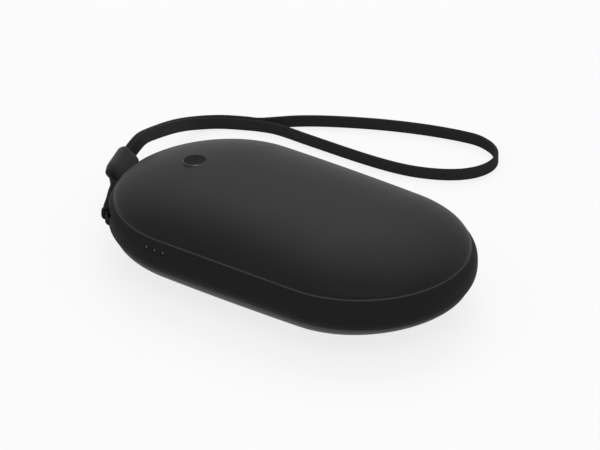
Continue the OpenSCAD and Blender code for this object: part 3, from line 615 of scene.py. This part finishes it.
def hitch_point(p, side):
    """A point of one strand round the post."""
    out = Vector((-math.cos(POST_ANGLE), -math.sin(POST_ANGLE)))
    across = Vector((math.sin(POST_ANGLE), -math.cos(POST_ANGLE)))
    spot = Vector((-END_X, 0)) + (POST_R + p[1]) * out + p[0] * across
    return (spot.x, spot.y, MID + p[3] + side * p[2])


def strand(side):
    return [run_point(p, side) for p in cord_run] + [hitch_point(p, side) for p in cord_hitch]


cord_route = through(strand(1) + [hitch_point(cord_bight, 1)] + strand(-1)[::-1], 4)
print("lanyard cord:", round(length_of(cord_route), 1), "mm along its middle")

# %% [markdown]
# The cord is one tube from the keeper, round the post and back. Each ring is carried on from the one before
# it, turned only as far as the route bends, so the braid doesn't twist.

# %% A round cord along a route
CORD_R, CORD_SIDES = 0.45, 14


def cord_mesh(route):
    """Points, faces and map of a tube whose rings are carried along without twist."""
    rings, uv, along, normal = [], [], 0, Vector((0, 0, 1))
    for i, (spot, ahead) in enumerate(zip(route, headings(route))):
        normal = (normal - normal.dot(ahead) * ahead).normalized()
        other = normal.cross(ahead)
        along += (Vector(spot) - Vector(route[i - 1])).length if i else 0
        turns = [2 * math.pi * k / CORD_SIDES for k in range(CORD_SIDES)]
        rings.append([
            tuple(Vector(spot) + CORD_R * (math.cos(a) * normal + math.sin(a) * other)) for a in turns
        ])
        uv += [(along, CORD_R * a) for a in turns]
    return *skin(rings), uv


points, faces, uv = cord_mesh(cord_route)
lanyard = piece("lanyard_cord_braid", points, faces, "cord", "lanyard_cord", uv=uv)

# %% [markdown]
# ## The wrist strap
# The strap is one flat ribbon, 3.3 mm wide and 1.1 mm thick. Its two runs lie side by side as far as the
# bend, and then part into the loop. It stands on its edge on the table as a stiff ribbon does, and leans a
# little near the keeper, which hangs at a slant. Its points are those of the part's source.

# %% Points of the strap, in millimetres
# place of the pair's middle, and how far it leans
strap_pair = [
    (-57.1, 4.8, 17, 23), (-57.5, 8, 17.9, 23), (-58.8, 12, 17.5, 22), (-60.6, 16.5, 16, 19),
    (-62.4, 22, 13.9, 15), (-64.2, 28, 11.6, 11), (-66, 34, 9.2, 7), (-67.5, 40, 6.8, 4),
    (-68.4, 45.5, 4.6, 2), (-68.5, 49.5, 3.1, 0), (-67.6, 53, 2.1, 0), (-65.5, 55.7, 1.7, 0),
    (-62.5, 57.6, 1.7, 0), (-59, 59.4, 1.7, 0), (-56, 60.8, 1.7, 0),
]
# place on the table
strap_loop = [
    (-51.5, 61.5), (-47, 61.8), (-42, 61.8), (-36, 61.9), (-30, 62), (-24, 62.2), (-18, 62.6), (-12.5, 63.3),
    (-7.5, 64.5), (-3, 66.3), (0.8, 68.5), (3.8, 71.1), (5.9, 74.2), (6.9, 77.6), (6.7, 81), (5.2, 84),
    (2.6, 86.4), (-0.6, 87.8), (-4.2, 88.4), (-8, 87.9), (-12.5, 86.8), (-18, 85.1), (-23.5, 83), (-29, 80.6),
    (-34.5, 77.8), (-40, 74.7), (-45, 71.5), (-49.3, 68.2), (-52.6, 65),
]
STRAP_W, STRAP_T, STRAP_GAP = 3.3, 1.1, 0.3
LOOP_Z = 1.7  # the ribbon's middle over the table


def side_and_up(ahead, lean):
    """Directions across the ribbon's thickness and along its width."""
    side = ahead.cross(Vector((0, 0, 1))).normalized()
    width = side.cross(ahead)
    a = math.radians(lean)
    side = math.cos(a) * side + math.sin(a) * width
    return side, side.cross(ahead)


def pair_run(which):
    """One of the two runs that lie side by side."""
    apart = which * (STRAP_T + STRAP_GAP) / 2
    return [
        (*(Vector(p[:3]) + apart * side_and_up(ahead, p[3])[0]), which * p[3])
        for p, ahead in zip(strap_pair, headings(strap_pair))
    ]


strap_route = through(pair_run(1) + [(x, y, LOOP_Z, 0) for x, y in strap_loop] + pair_run(-1)[::-1], 5)
print("wrist strap:", round(length_of(strap_route), 1), "mm of ribbon")

# %% [markdown]
# A ribbon's edges, its selvedges, are thinner than its middle. The section is drawn once and carried along
# the route, turned with the ribbon's lean.

# %% A flat ribbon along a route
# share of the half thickness, and distance in from the edge
SELVEDGE = [(1, 0.5), (0.93, 0.28), (0.7, 0.1), (0.35, 0)]
BACK_FROM = 7  # the threads of the ribbon's back are counted from here on the map


def ribbon_section():
    """Distances from the ribbon's middle, across its thickness and along its width."""
    corner = [(share * STRAP_T / 2, STRAP_W / 2 - inset) for share, inset in SELVEDGE]
    edge = corner + [(-x, y) for x, y in corner[::-1]]
    return edge + [(-x, -y) for x, y in edge]


def ribbon_mesh(route):
    """Points, faces and map of the ribbon."""
    rings, uv, along = [], [], 0
    for i, (spot, ahead) in enumerate(zip(route, headings(route))):
        side, width = side_and_up(ahead, spot[3])
        along += (Vector(spot[:3]) - Vector(route[i - 1][:3])).length if i else 0
        rings.append([tuple(Vector(spot[:3]) + x * side + y * width) for x, y in ribbon_section()])
        uv += [(along, y if x > 0 else BACK_FROM - y) for x, y in ribbon_section()]
    return *skin(rings), uv


points, faces, uv = ribbon_mesh(strap_route)
strap = piece("wrist_strap_ribbon", points, faces, "ribbon", "wrist_strap", uv=uv, sharp=60)

# %% [markdown]
# ## The keeper
# A small moulded block grips the cord at one end and the ribbon at the other. It is lofted through rounded
# rectangles: drawn in a little towards the cord, and rounded over at both ends, more at the ribbon's. A box
# with one bevel would have two equal ends.

# %% The keeper's block
KEEPER_L, KEEPER_T, KEEPER_H = 10, 3.57, 6.4
KEEPER_CORNER = 1.2
KEEPER_AT = (-56.58, 1.23, 15.33)
KEEPER_YAW, KEEPER_PITCH, KEEPER_LEAN = math.radians(6), math.radians(20.7), math.radians(-38)
CORD_END_R, RIBBON_END_R = 0.75, 1.5
WAIST, WAIST_FROM, WAIST_LENGTH = 0.48, -2, 3  # drawn in by the first, from the second on, over the third
keeper_frame = (
    Matrix.Translation(KEEPER_AT) @ Matrix.Rotation(KEEPER_YAW, 4, "Z")
    @ Matrix.Rotation(KEEPER_PITCH, 4, "X") @ Matrix.Rotation(KEEPER_LEAN, 4, "Y")
)


def rounded_ring(width, height, r, y, corner=6):
    """A rounded rectangle across the Y axis."""
    r = min(r, width / 2 - 0.01, height / 2 - 0.01)
    ring = []
    for k, (sx, sz) in enumerate(((1, 1), (-1, 1), (-1, -1), (1, -1))):
        for i in range(corner + 1):
            a = math.radians(90 * k + 90 * i / corner)
            ring.append((sx * (width / 2 - r) + r * math.cos(a), y, sz * (height / 2 - r) + r * math.sin(a)))
    return ring


def keeper_ring(y, inset):
    """A section at a distance along the keeper, drawn in where an end is rounded."""
    t = min(max((WAIST_FROM - y) / WAIST_LENGTH, 0), 1)
    drawn = WAIST * t * t * (3 - 2 * t) + inset
    return rounded_ring(KEEPER_T - 2 * drawn, KEEPER_H - 2 * drawn, KEEPER_CORNER, y)


def rounded_end(r, step):
    """Distances in from the keeper's end and from its side, round a quarter circle."""
    turns = [math.radians(a) for a in range(0, 91, step)]
    return [(r * (1 - math.cos(a)), r * (1 - math.sin(a))) for a in turns]


keeper_rings = [keeper_ring(d - KEEPER_L / 2, inset) for d, inset in rounded_end(CORD_END_R, 15)]
keeper_rings += [keeper_ring(y, 0) for y in (-3.7, -3.2, -2.7, -2.2, -1, 0.5, 2, 3)]
keeper_rings += [keeper_ring(KEEPER_L / 2 - d, inset) for d, inset in rounded_end(RIBBON_END_R, 10)[::-1]]
points, faces = skin(keeper_rings)
points = placed(points, keeper_frame)
keeper = piece("strap_keeper_block", points, faces, "keeper", "strap_keeper", sharp=50)

# %% [markdown]
# The routes of both cords are also worked out in metres, the unit that Blender counts in. Both ends of the
# lanyard are held in the keeper, and so are both ends of the strap.

def metres(route):
    return [[c / MM for c in p[:3]] for p in route]


metres(cord_route)[0]
metres(cord_route)
metres(strap_route)[0]
metres(strap_route)

# %% [markdown]
# ## The shells
# Seen from above, the body is a long oval: two half circles joined by straight sides. A shell is a stack
# of such ovals that shrink towards the crown. Their heights follow a superellipse, a curve between an
# ellipse and a box, which gives the full shoulder of the real shell, and the crown itself falls away
# towards both ends. A stretched sphere would be quicker, but its seam would be an ellipse without straight
# sides, and its shoulder too thin.

# %% Ovals of the body
ARC, SIDE = 72, 16  # steps round a half circle and along a side
PLAN_POWER, SIDE_POWER = 2.2, 1.65  # of the superellipse: 2 and 2 would be an ellipse
CROWN_FALL = 0.39  # share of its height that the crown loses by the very end


def oval_spots():
    """Places round the oval: the X that each is swept from, and its direction."""
    spots = []
    for end, first in ((1, -90), (-1, 90)):
        turns = [math.radians(first + 180 * i / ARC) for i in range(ARC + 1)]
        spots += [(end * END_X, math.cos(a), math.sin(a)) for a in turns]
        spots += [(end * END_X * (1 - 2 * i / SIDE), 0, end) for i in range(1, SIDE)]
    return spots


SPOTS = oval_spots()


def flat_oval(r, z):
    return [(x + r * c, r * s, z) for x, c, s in SPOTS]


def crown_share(x):
    """How much of its full height the crown has at a place along the body."""
    return 1 - CROWN_FALL * (x / HALF_L) ** 2


def dome_oval(r, base, rise, angle):
    """A ring of the dome, from angle 0 at the crown to 90 at the edge."""
    a = math.radians(angle)
    across, height = r * math.sin(a) ** (2 / PLAN_POWER), rise * math.cos(a) ** (2 / SIDE_POWER)
    return [(x, y, base + height * crown_share(x)) for x, y, _ in flat_oval(across, 0)]


def close_oval(first):
    """Faces that close an oval, in a ladder across it."""
    n, m = len(SPOTS), ARC // 2
    return [
        [first + i % n for i in dict.fromkeys((m + k, m - k, m - k - 1, m + k + 1))]
        for k in range(n // 2)
    ]


print("an oval has", len(SPOTS), "points")

# %% [markdown]
# From the crown the rings go out over the dome, round the edge, down the tongue that snaps into the band,
# and back up the hollow inside. So each shell is one closed skin with a real wall, and the button's hole
# shows that wall when it is cut.

# %% Two shells
EDGE_R = 0.35  # the rounded edge at the seam
TONGUE_R = HALF_W - 1.2  # outside of the tongue
BEAD = 0.2  # how far its snap bead stands out
HOLLOW_R = TONGUE_R - 1.0
WALL_T = 1.2  # at the crown
# distance from the oval's middle line, and drop below the seam
tongue_outline = [
    (TONGUE_R, 0), (TONGUE_R, 0.4), (TONGUE_R + BEAD, 0.7), (TONGUE_R, 1.0), (TONGUE_R, 1.25),
    (HOLLOW_R, 1.25),
]


def shell_rings():
    """The shell's rings from the crown outwards and back inside. Those of the domes go by angles."""
    outside = [1.2, 3, 5, 7.5] + [10 + 80 * i / 36 for i in range(37)]
    inside = [90 - 85 * i / 18 for i in range(19)]
    rings = [dome_oval(HALF_W, SEAM + EDGE_R, DOME - EDGE_R, a) for a in outside]
    for a in (math.radians(18 * i) for i in range(1, 6)):
        rings.append(flat_oval(HALF_W - EDGE_R + EDGE_R * math.cos(a), SEAM + EDGE_R - EDGE_R * math.sin(a)))
    rings += [flat_oval(r, SEAM - drop) for r, drop in tongue_outline]
    return rings + [dome_oval(HOLLOW_R, SEAM, DOME - WALL_T, a) for a in inside]


def shell(name, flip, node):
    """A shell, crown up, or flipped and cut flat where it rests on the table."""
    rings = shell_rings()
    points, faces = skin(rings, ends=False)
    faces += close_oval(0) + close_oval((len(rings) - 1) * len(SPOTS))
    points = [(x, y, MID + z) if not flip else (x, y, max(MID - z, 0)) for x, y, z in points]
    return piece(name, points, faces, "shell", node, sharp=40)


shell("bottom_shell_satin", True, "bottom_shell")
upper = shell("top_shell_satin", False, "top_shell")

# %% [markdown]
# The button's hole is cut square to the button, which is tilted 4 degrees with the slope of the shell. The
# button's own frame is worked out first, from the shell's height at its place, so that the hole, the ring
# and the cap all share it.

# %% Cut the button's hole
BUTTON_X, BUTTON_TILT = -31.6, math.radians(-4)
PROUD = 0.45  # of the ring over the shell
CAP_R, RING_R = 2.88, 3.14
HOLE_GAP, HOLE_REACH = 0.04, 10  # round the ring, and up and down from its top


def outer_height(x):
    """Height of the shell's outside over the band's middle, on the long axis."""
    rho = max(abs(x) - END_X, 0) / HALF_W
    return SEAM + DOME * (1 - rho ** PLAN_POWER) ** (1 / SIDE_POWER) * crown_share(x)


button_z = MID + outer_height(BUTTON_X) + PROUD
button_frame = Matrix.Translation((BUTTON_X, 0, button_z)) @ Matrix.Rotation(BUTTON_TILT, 4, "Y")
hole_foot = button_frame @ Matrix.Translation((0, 0, -HOLE_REACH))
carve(upper, rod(RING_R + HOLE_GAP, 2 * HOLE_REACH, hole_foot, 96))
mend_normals(upper, 40)
print("top shell:", len(upper.data.polygons), "faces after the cut")

# %% [markdown]
# ## The band
# The band is one closed outline carried round the oval. Outside it swells 1.8 mm past the shells, a little
# fuller than a circle's arc, and its lips are rounded. A step above and below takes the shells' tongues,
# with a groove for their beads. A bevelled curve could carry the outline too, but the holes need a mesh.

# %% The band's outline, carried round
BULGE_POWER = 2.8  # 2 would be close to a circle's arc
LIP_DROP = 0.2  # the swell starts this far below the seam
# the step and the lip, out from the oval at the seam and up from the seam
lip_outline = [
    (-3.4, -1.45), (-1.4, -1.45), (-1.1, -1.1), (-0.9, -0.7), (-1.1, -0.3), (-1.1, 0), (-0.15, 0),
    (-0.02, -0.03), (0.06, -0.1),
]


def band_outline():
    """Distance from the oval's middle line and height, round the section."""
    heights = [(SEAM - LIP_DROP) * math.cos(math.pi * i / 28) for i in range(29)]
    outer = [(HALF_W + BULGE * (1 - abs(z / SEAM) ** BULGE_POWER), z) for z in heights]
    top = [(HALF_W + out, SEAM + rise) for out, rise in lip_outline]
    return top + outer + [(r, -z) for r, z in top[::-1]]


rings = [[(x + r * c, r * s, MID + z) for r, z in band_outline()] for x, c, s in SPOTS]
points, faces = skin(rings, closed_along=True)
band = piece("band_moulding", points, faces, "band", "band", sharp=40)

# %% [markdown]
# Near the left end a round pocket is sunk into the band, with a post across it for the lanyard. Its wall
# bulges inwards, so a boss is joined on first and trimmed, and then the pocket is cut. The port's opening
# and the three light holes follow.

# %% Pocket, post, port opening and light holes
BOSS_R, BOSS_H = 5.1, 6.1
POCKET_R, POCKET_H = 3.9, 4.8
POST_BAR_R, POST_BAR_H = 1.2, 5.2
INSIDE_R, TRIM_H = HALF_W - 1.1, 6.3
PORT_W, PORT_H, PORT_X, PORT_LENGTH = 9.24, 3.56, -54, 9
LIGHT_R, LIGHT_PITCH, LIGHT_AT, LIGHT_DEPTH = 0.55, 2.7, (-22.1, -24, MID + 2), 9


def post_rod(r, height, steps):
    """An upright rod on the post's axis, as far above the band's middle as below."""
    turn_by = Matrix.Rotation(math.pi + POST_ANGLE, 4, "Z")
    foot = Matrix.Translation((-END_X, 0, MID - height / 2)) @ turn_by @ Matrix.Translation((POST_R, 0, 0))
    return rod(r, height, foot, steps)


def oval_bar(width, height, length, matrix, steps=24):
    """A bar with round edges that runs along X, for use as a tool."""
    ring = []
    for side in (1, -1):
        for a in (math.radians(-90 * side + 180 * i / steps) for i in range(steps + 1)):
            ring.append((0, side * (width - height) / 2 + height / 2 * math.cos(a), height / 2 * math.sin(a)))
    points, faces = skin([ring, [(length, y, z) for _, y, z in ring]])
    return piece("tool", placed(points, matrix), faces)


boss = post_rod(BOSS_R, BOSS_H, 72)
round_end = Matrix.Translation((-END_X, 0, MID - TRIM_H / 2))
carve(boss, rod(INSIDE_R, TRIM_H, round_end, 144), "INTERSECT")
carve(band, boss, "UNION")
carve(band, post_rod(POCKET_R, POCKET_H, 72))
carve(band, post_rod(POST_BAR_R, POST_BAR_H, 48), "UNION")
carve(band, oval_bar(PORT_W, PORT_H, PORT_LENGTH, Matrix.Translation((PORT_X, 0, MID))))
forwards = Matrix.Translation(LIGHT_AT) @ Matrix.Rotation(math.radians(90), 4, "X")
for i in (-1, 0, 1):
    carve(band, rod(LIGHT_R, LIGHT_DEPTH, Matrix.Translation((LIGHT_PITCH * i, 0, 0)) @ forwards, 32))
mend_normals(band, 40)
print("band:", len(band.data.polygons), "faces after the cuts")

# %% [markdown]
# ## The button and its ring
# Both are turned shapes: an outline of distances and heights, spun about the button's axis. The ring's top
# slopes outwards, so only its near side catches a thin crescent of light. The cap is very slightly dished.
# A plain cylinder with a bevel would catch the light all round instead.

# %% Spin an outline
def spin(outline, steps=96):
    """Points and faces of a turned piece whose outline starts and ends on the axis, or closes on itself."""
    solid = outline[0][0] == 0
    points, faces = skin([circle(max(r, 1e-4), z, steps) for r, z in outline], closed_along=not solid)
    return placed(points, button_frame), faces


def fillet(centre_r, centre_z, r, first, last, steps=6):
    """Points of a rounded corner in an outline, between two angles."""
    turns = [math.radians(first + (last - first) * i / steps) for i in range(steps + 1)]
    return [(centre_r + r * math.cos(a), centre_z + r * math.sin(a)) for a in turns]


BORE_R = CAP_R + 0.06  # the ring's inside
RING_LOW, RING_SLOPE = -2.5, -0.33  # its foot, and the outer edge of its slope
OUTER_ROUND, INNER_ROUND = 0.04, 0.03
ring_outline = [(BORE_R, RING_LOW), (RING_R, RING_LOW)]
ring_outline += fillet(RING_R - OUTER_ROUND, RING_SLOPE, OUTER_ROUND, 0, 45)
ring_outline += fillet(BORE_R + INNER_ROUND, -INNER_ROUND, INNER_ROUND, 45, 180)
piece("button_ring_turned", *spin(ring_outline), "trim_ring", "button_ring", sharp=40)

# %% [markdown]
# Below the cap a wide flange holds it in the shell, and a stem stands on the switch. The stem is upright
# and the cap tilted, so the two are joined by a Boolean. Both ride on the body that moves.

# %% The cap and its stem
DISH_R, DISH, SUNK = 2.7, 0.1, 0.02
CAP_ROUND = 0.07
FLANGE_R, FLANGE_TOP, FLANGE_LOW = 3.75, -2.75, -3.75
STEM_R, STEM_LAP = 1.3, 0.5  # the stem, and how far it reaches into the flange
SWITCH_TOP = 6.2  # over the band's middle
shares = [i / 12 for i in range(13)]
cap_outline = [(DISH_R * share, -SUNK - DISH * (1 - share ** 2)) for share in shares]
cap_outline += fillet(CAP_R - CAP_ROUND, -SUNK - CAP_ROUND, CAP_ROUND, 90, 0)
cap_outline += [(CAP_R, FLANGE_TOP), (FLANGE_R, FLANGE_TOP), (FLANGE_R, FLANGE_LOW)]
cap_outline += [(STEM_R, FLANGE_LOW), (0, FLANGE_LOW)]
cap = piece("power_button_cap", *spin(cap_outline), "button_cap", "power_button", "button", sharp=40)
stem_low, stem_top = MID + SWITCH_TOP, button_z + FLANGE_LOW + STEM_LAP
carve(cap, rod(STEM_R, stem_top - stem_low, Matrix.Translation((BUTTON_X, 0, stem_low)), 40), "UNION")
mend_normals(cap, 40)
print("cap:", len(cap.data.polygons), "faces with its stem")

# %% [markdown]
# ## Finishes for the pieces inside
# These pieces show only when the body is opened. A circuit board has tracks under green varnish and gold
# pads. Tracks could be modelled as thin strips, but crossed waves, cut off at one height, give the same feel
# of a drawn circuit for the price of a few sums.

# %% Boards and chips
TRACKS_X, TRACKS_Y, TRACKS_DRIFT = 4200, 2100, 900  # radians of each wave in a metre
LEAD_FROM, LEAD_TO = -0.52, -0.5  # heights over the band's middle: below them a chip shows its metal leads


def board_paint(start):
    place = place_of(start)
    x, y, _ = place.axes()
    crossed = (x * TRACKS_X).wave() * ((y * TRACKS_Y).wave() + (x * TRACKS_DRIFT).wave())
    tracks = crossed.between(0.35, 0.5)
    pads = 1 - place.cells(420.0).between(0.16, 0.2)
    varnish = tracks.blend((0.008, 0.075, 0.03, 1), (0.02, 0.16, 0.065, 1))
    return {
        "Base Color": pads.blend(varnish, (0.6, 0.42, 0.14, 1)),
        "Roughness": 0.32 - 0.08 * tracks,
        "Metallic": pads,
        "Normal": bump(tracks, 0.03, 0.6),
    }


def chip_paint(start):
    place = place_of(start)
    grain = place.noise(4500, 3)
    lead = 1 - body_height(place, LEAD_FROM, LEAD_TO)
    return {
        "Base Color": lead.blend(grain.blend(grey(0.012), grey(0.02)), grey(0.45)),
        "Roughness": 0.6 + 0.1 * grain - 0.3 * lead,
        "Normal": bump(grain, 0.01, 0.5),
    }


def led_paint(start):
    grain = place_of(start).noise(2500, 2)
    return {
        "Base Color": grain.blend((0.75, 0.72, 0.5, 1), (0.85, 0.83, 0.62, 1)),
        "Roughness": 0.3 + 0.1 * grain,
    }


finish("circuit_board", "varnished_board", {}, board_paint)
finish("chip_body", "chip_body", {"Specular IOR Level": 0.4}, chip_paint)
finish("led_body", "led_body", {"Specular IOR Level": 0.5}, led_paint)

# %% [markdown]
# Screws and the port's shell are plated steel, and the cells' tabs are nickel strip, a little yellower. The
# even finish does for both, with a metal shader. A pouch cell is wrapped in foil, whose slight creases come
# from scattered points: they run where the second nearest of the points changes.

# %% Metal pieces
def metal_paint(dark, light, scale):
    return even_paint(dark, light, 0.28, 0.16, scale, scale / 12, 0.006)


def foil_paint(start):
    place = place_of(start)
    crease, soft = place.cells(190.0, "F2"), place.noise(120, 3)
    return {
        "Base Color": soft.blend(grey(0.62), grey(0.72)),
        "Roughness": 0.3 + 0.14 * soft,
        "Normal": bump(crease + soft, 0.08, 0.4),
    }


nickel_paint = metal_paint((0.5, 0.48, 0.44, 1), (0.62, 0.6, 0.55, 1), 2400)
finish("plated_steel", "plated_steel", {"Metallic": 1.0}, metal_paint(grey(0.48), grey(0.6), 3600))
finish("nickel_strip", "nickel_strip", {"Metallic": 1.0}, nickel_paint)
finish("cell_foil", "cell_foil", {"Metallic": 1.0}, foil_paint)

# %% [markdown]
# A heating film is a thin amber sheet with a copper track that runs to and fro. Foam is full of small
# cells, which scattered points draw too, this time by the distance from the nearest one.

# %% Films and foam
ROWS, SWAY = 3140, 400  # radians in a metre: of the track's rows, 2 mm apart, and of their sway


def film_paint(start):
    place = place_of(start)
    x, y, _ = place.axes()
    track = ((y * ROWS).wave() + 0.6 * (x * SWAY).wave()).between(-0.1, 0.1)
    soft = place.noise(300, 2)
    return {
        "Base Color": track.blend((0.36, 0.13, 0.015, 1), (0.72, 0.36, 0.16, 1)),
        "Metallic": 0.7 * track,
        "Roughness": 0.25 + 0.15 * soft,
        "Normal": bump(track, 0.03, 0.6),
    }


def foam_paint(start):
    place = place_of(start)
    cells, soft = place.cells(900.0), place.noise(80, 3)
    return {
        "Base Color": (0.6 * cells + 0.4 * soft).blend((0.5, 0.5, 0.46, 1), (0.74, 0.73, 0.68, 1)),
        "Roughness": 0.85 + 0.1 * soft,
        "Normal": bump(cells, 0.2, 0.6),
    }


finish("heater_film", "heater_film", {"Specular IOR Level": 0.5}, film_paint)
finish("foam", "foam", {"Specular IOR Level": 0.2}, foam_paint)

# %% [markdown]
# Wires, mouldings and the sensors' beads differ only in colour and shine. They could have a paint each, but
# one even finish with other numbers makes them all.

# %% Wires, mouldings and beads
black_paint = even_paint(grey(0.014), grey(0.02), 0.5)
finish("moulded_black", "moulded_black", {"Specular IOR Level": 0.4}, black_paint)
wire_colours = {
    "red": ((0.35, 0.012, 0.01, 1), (0.45, 0.02, 0.015, 1)), "black": (grey(0.012), grey(0.018)),
    "white": (grey(0.6), grey(0.7)), "grey": (grey(0.16), grey(0.2)),
}
for colour, (dark, light) in wire_colours.items():
    finish(f"lead_{colour}", f"{colour}_wire", {}, even_paint(dark, light, 0.45))
finish("sensor_bead", "sensor_bead", {}, even_paint((0.02, 0.02, 0.025, 1), (0.03, 0.03, 0.035, 1), 0.2))

# %% [markdown]
# The frame's record says which slot each of its nodes takes its finish from. They could be dressed one by
# one, but this loop misses none. The pieces that were made again above have theirs already. The two foam
# pads are soft.

# %% Give every node of the frame its finish
for entry in frame["record"]["subparts"]:
    node = frame["nodes"][entry["node"]]
    node.data.materials.clear()
    node.data.materials.append(finish_of[entry["material_slot"]])
print(len(finish_of) - 1, "finishes on", len(frame["nodes"]), "nodes")
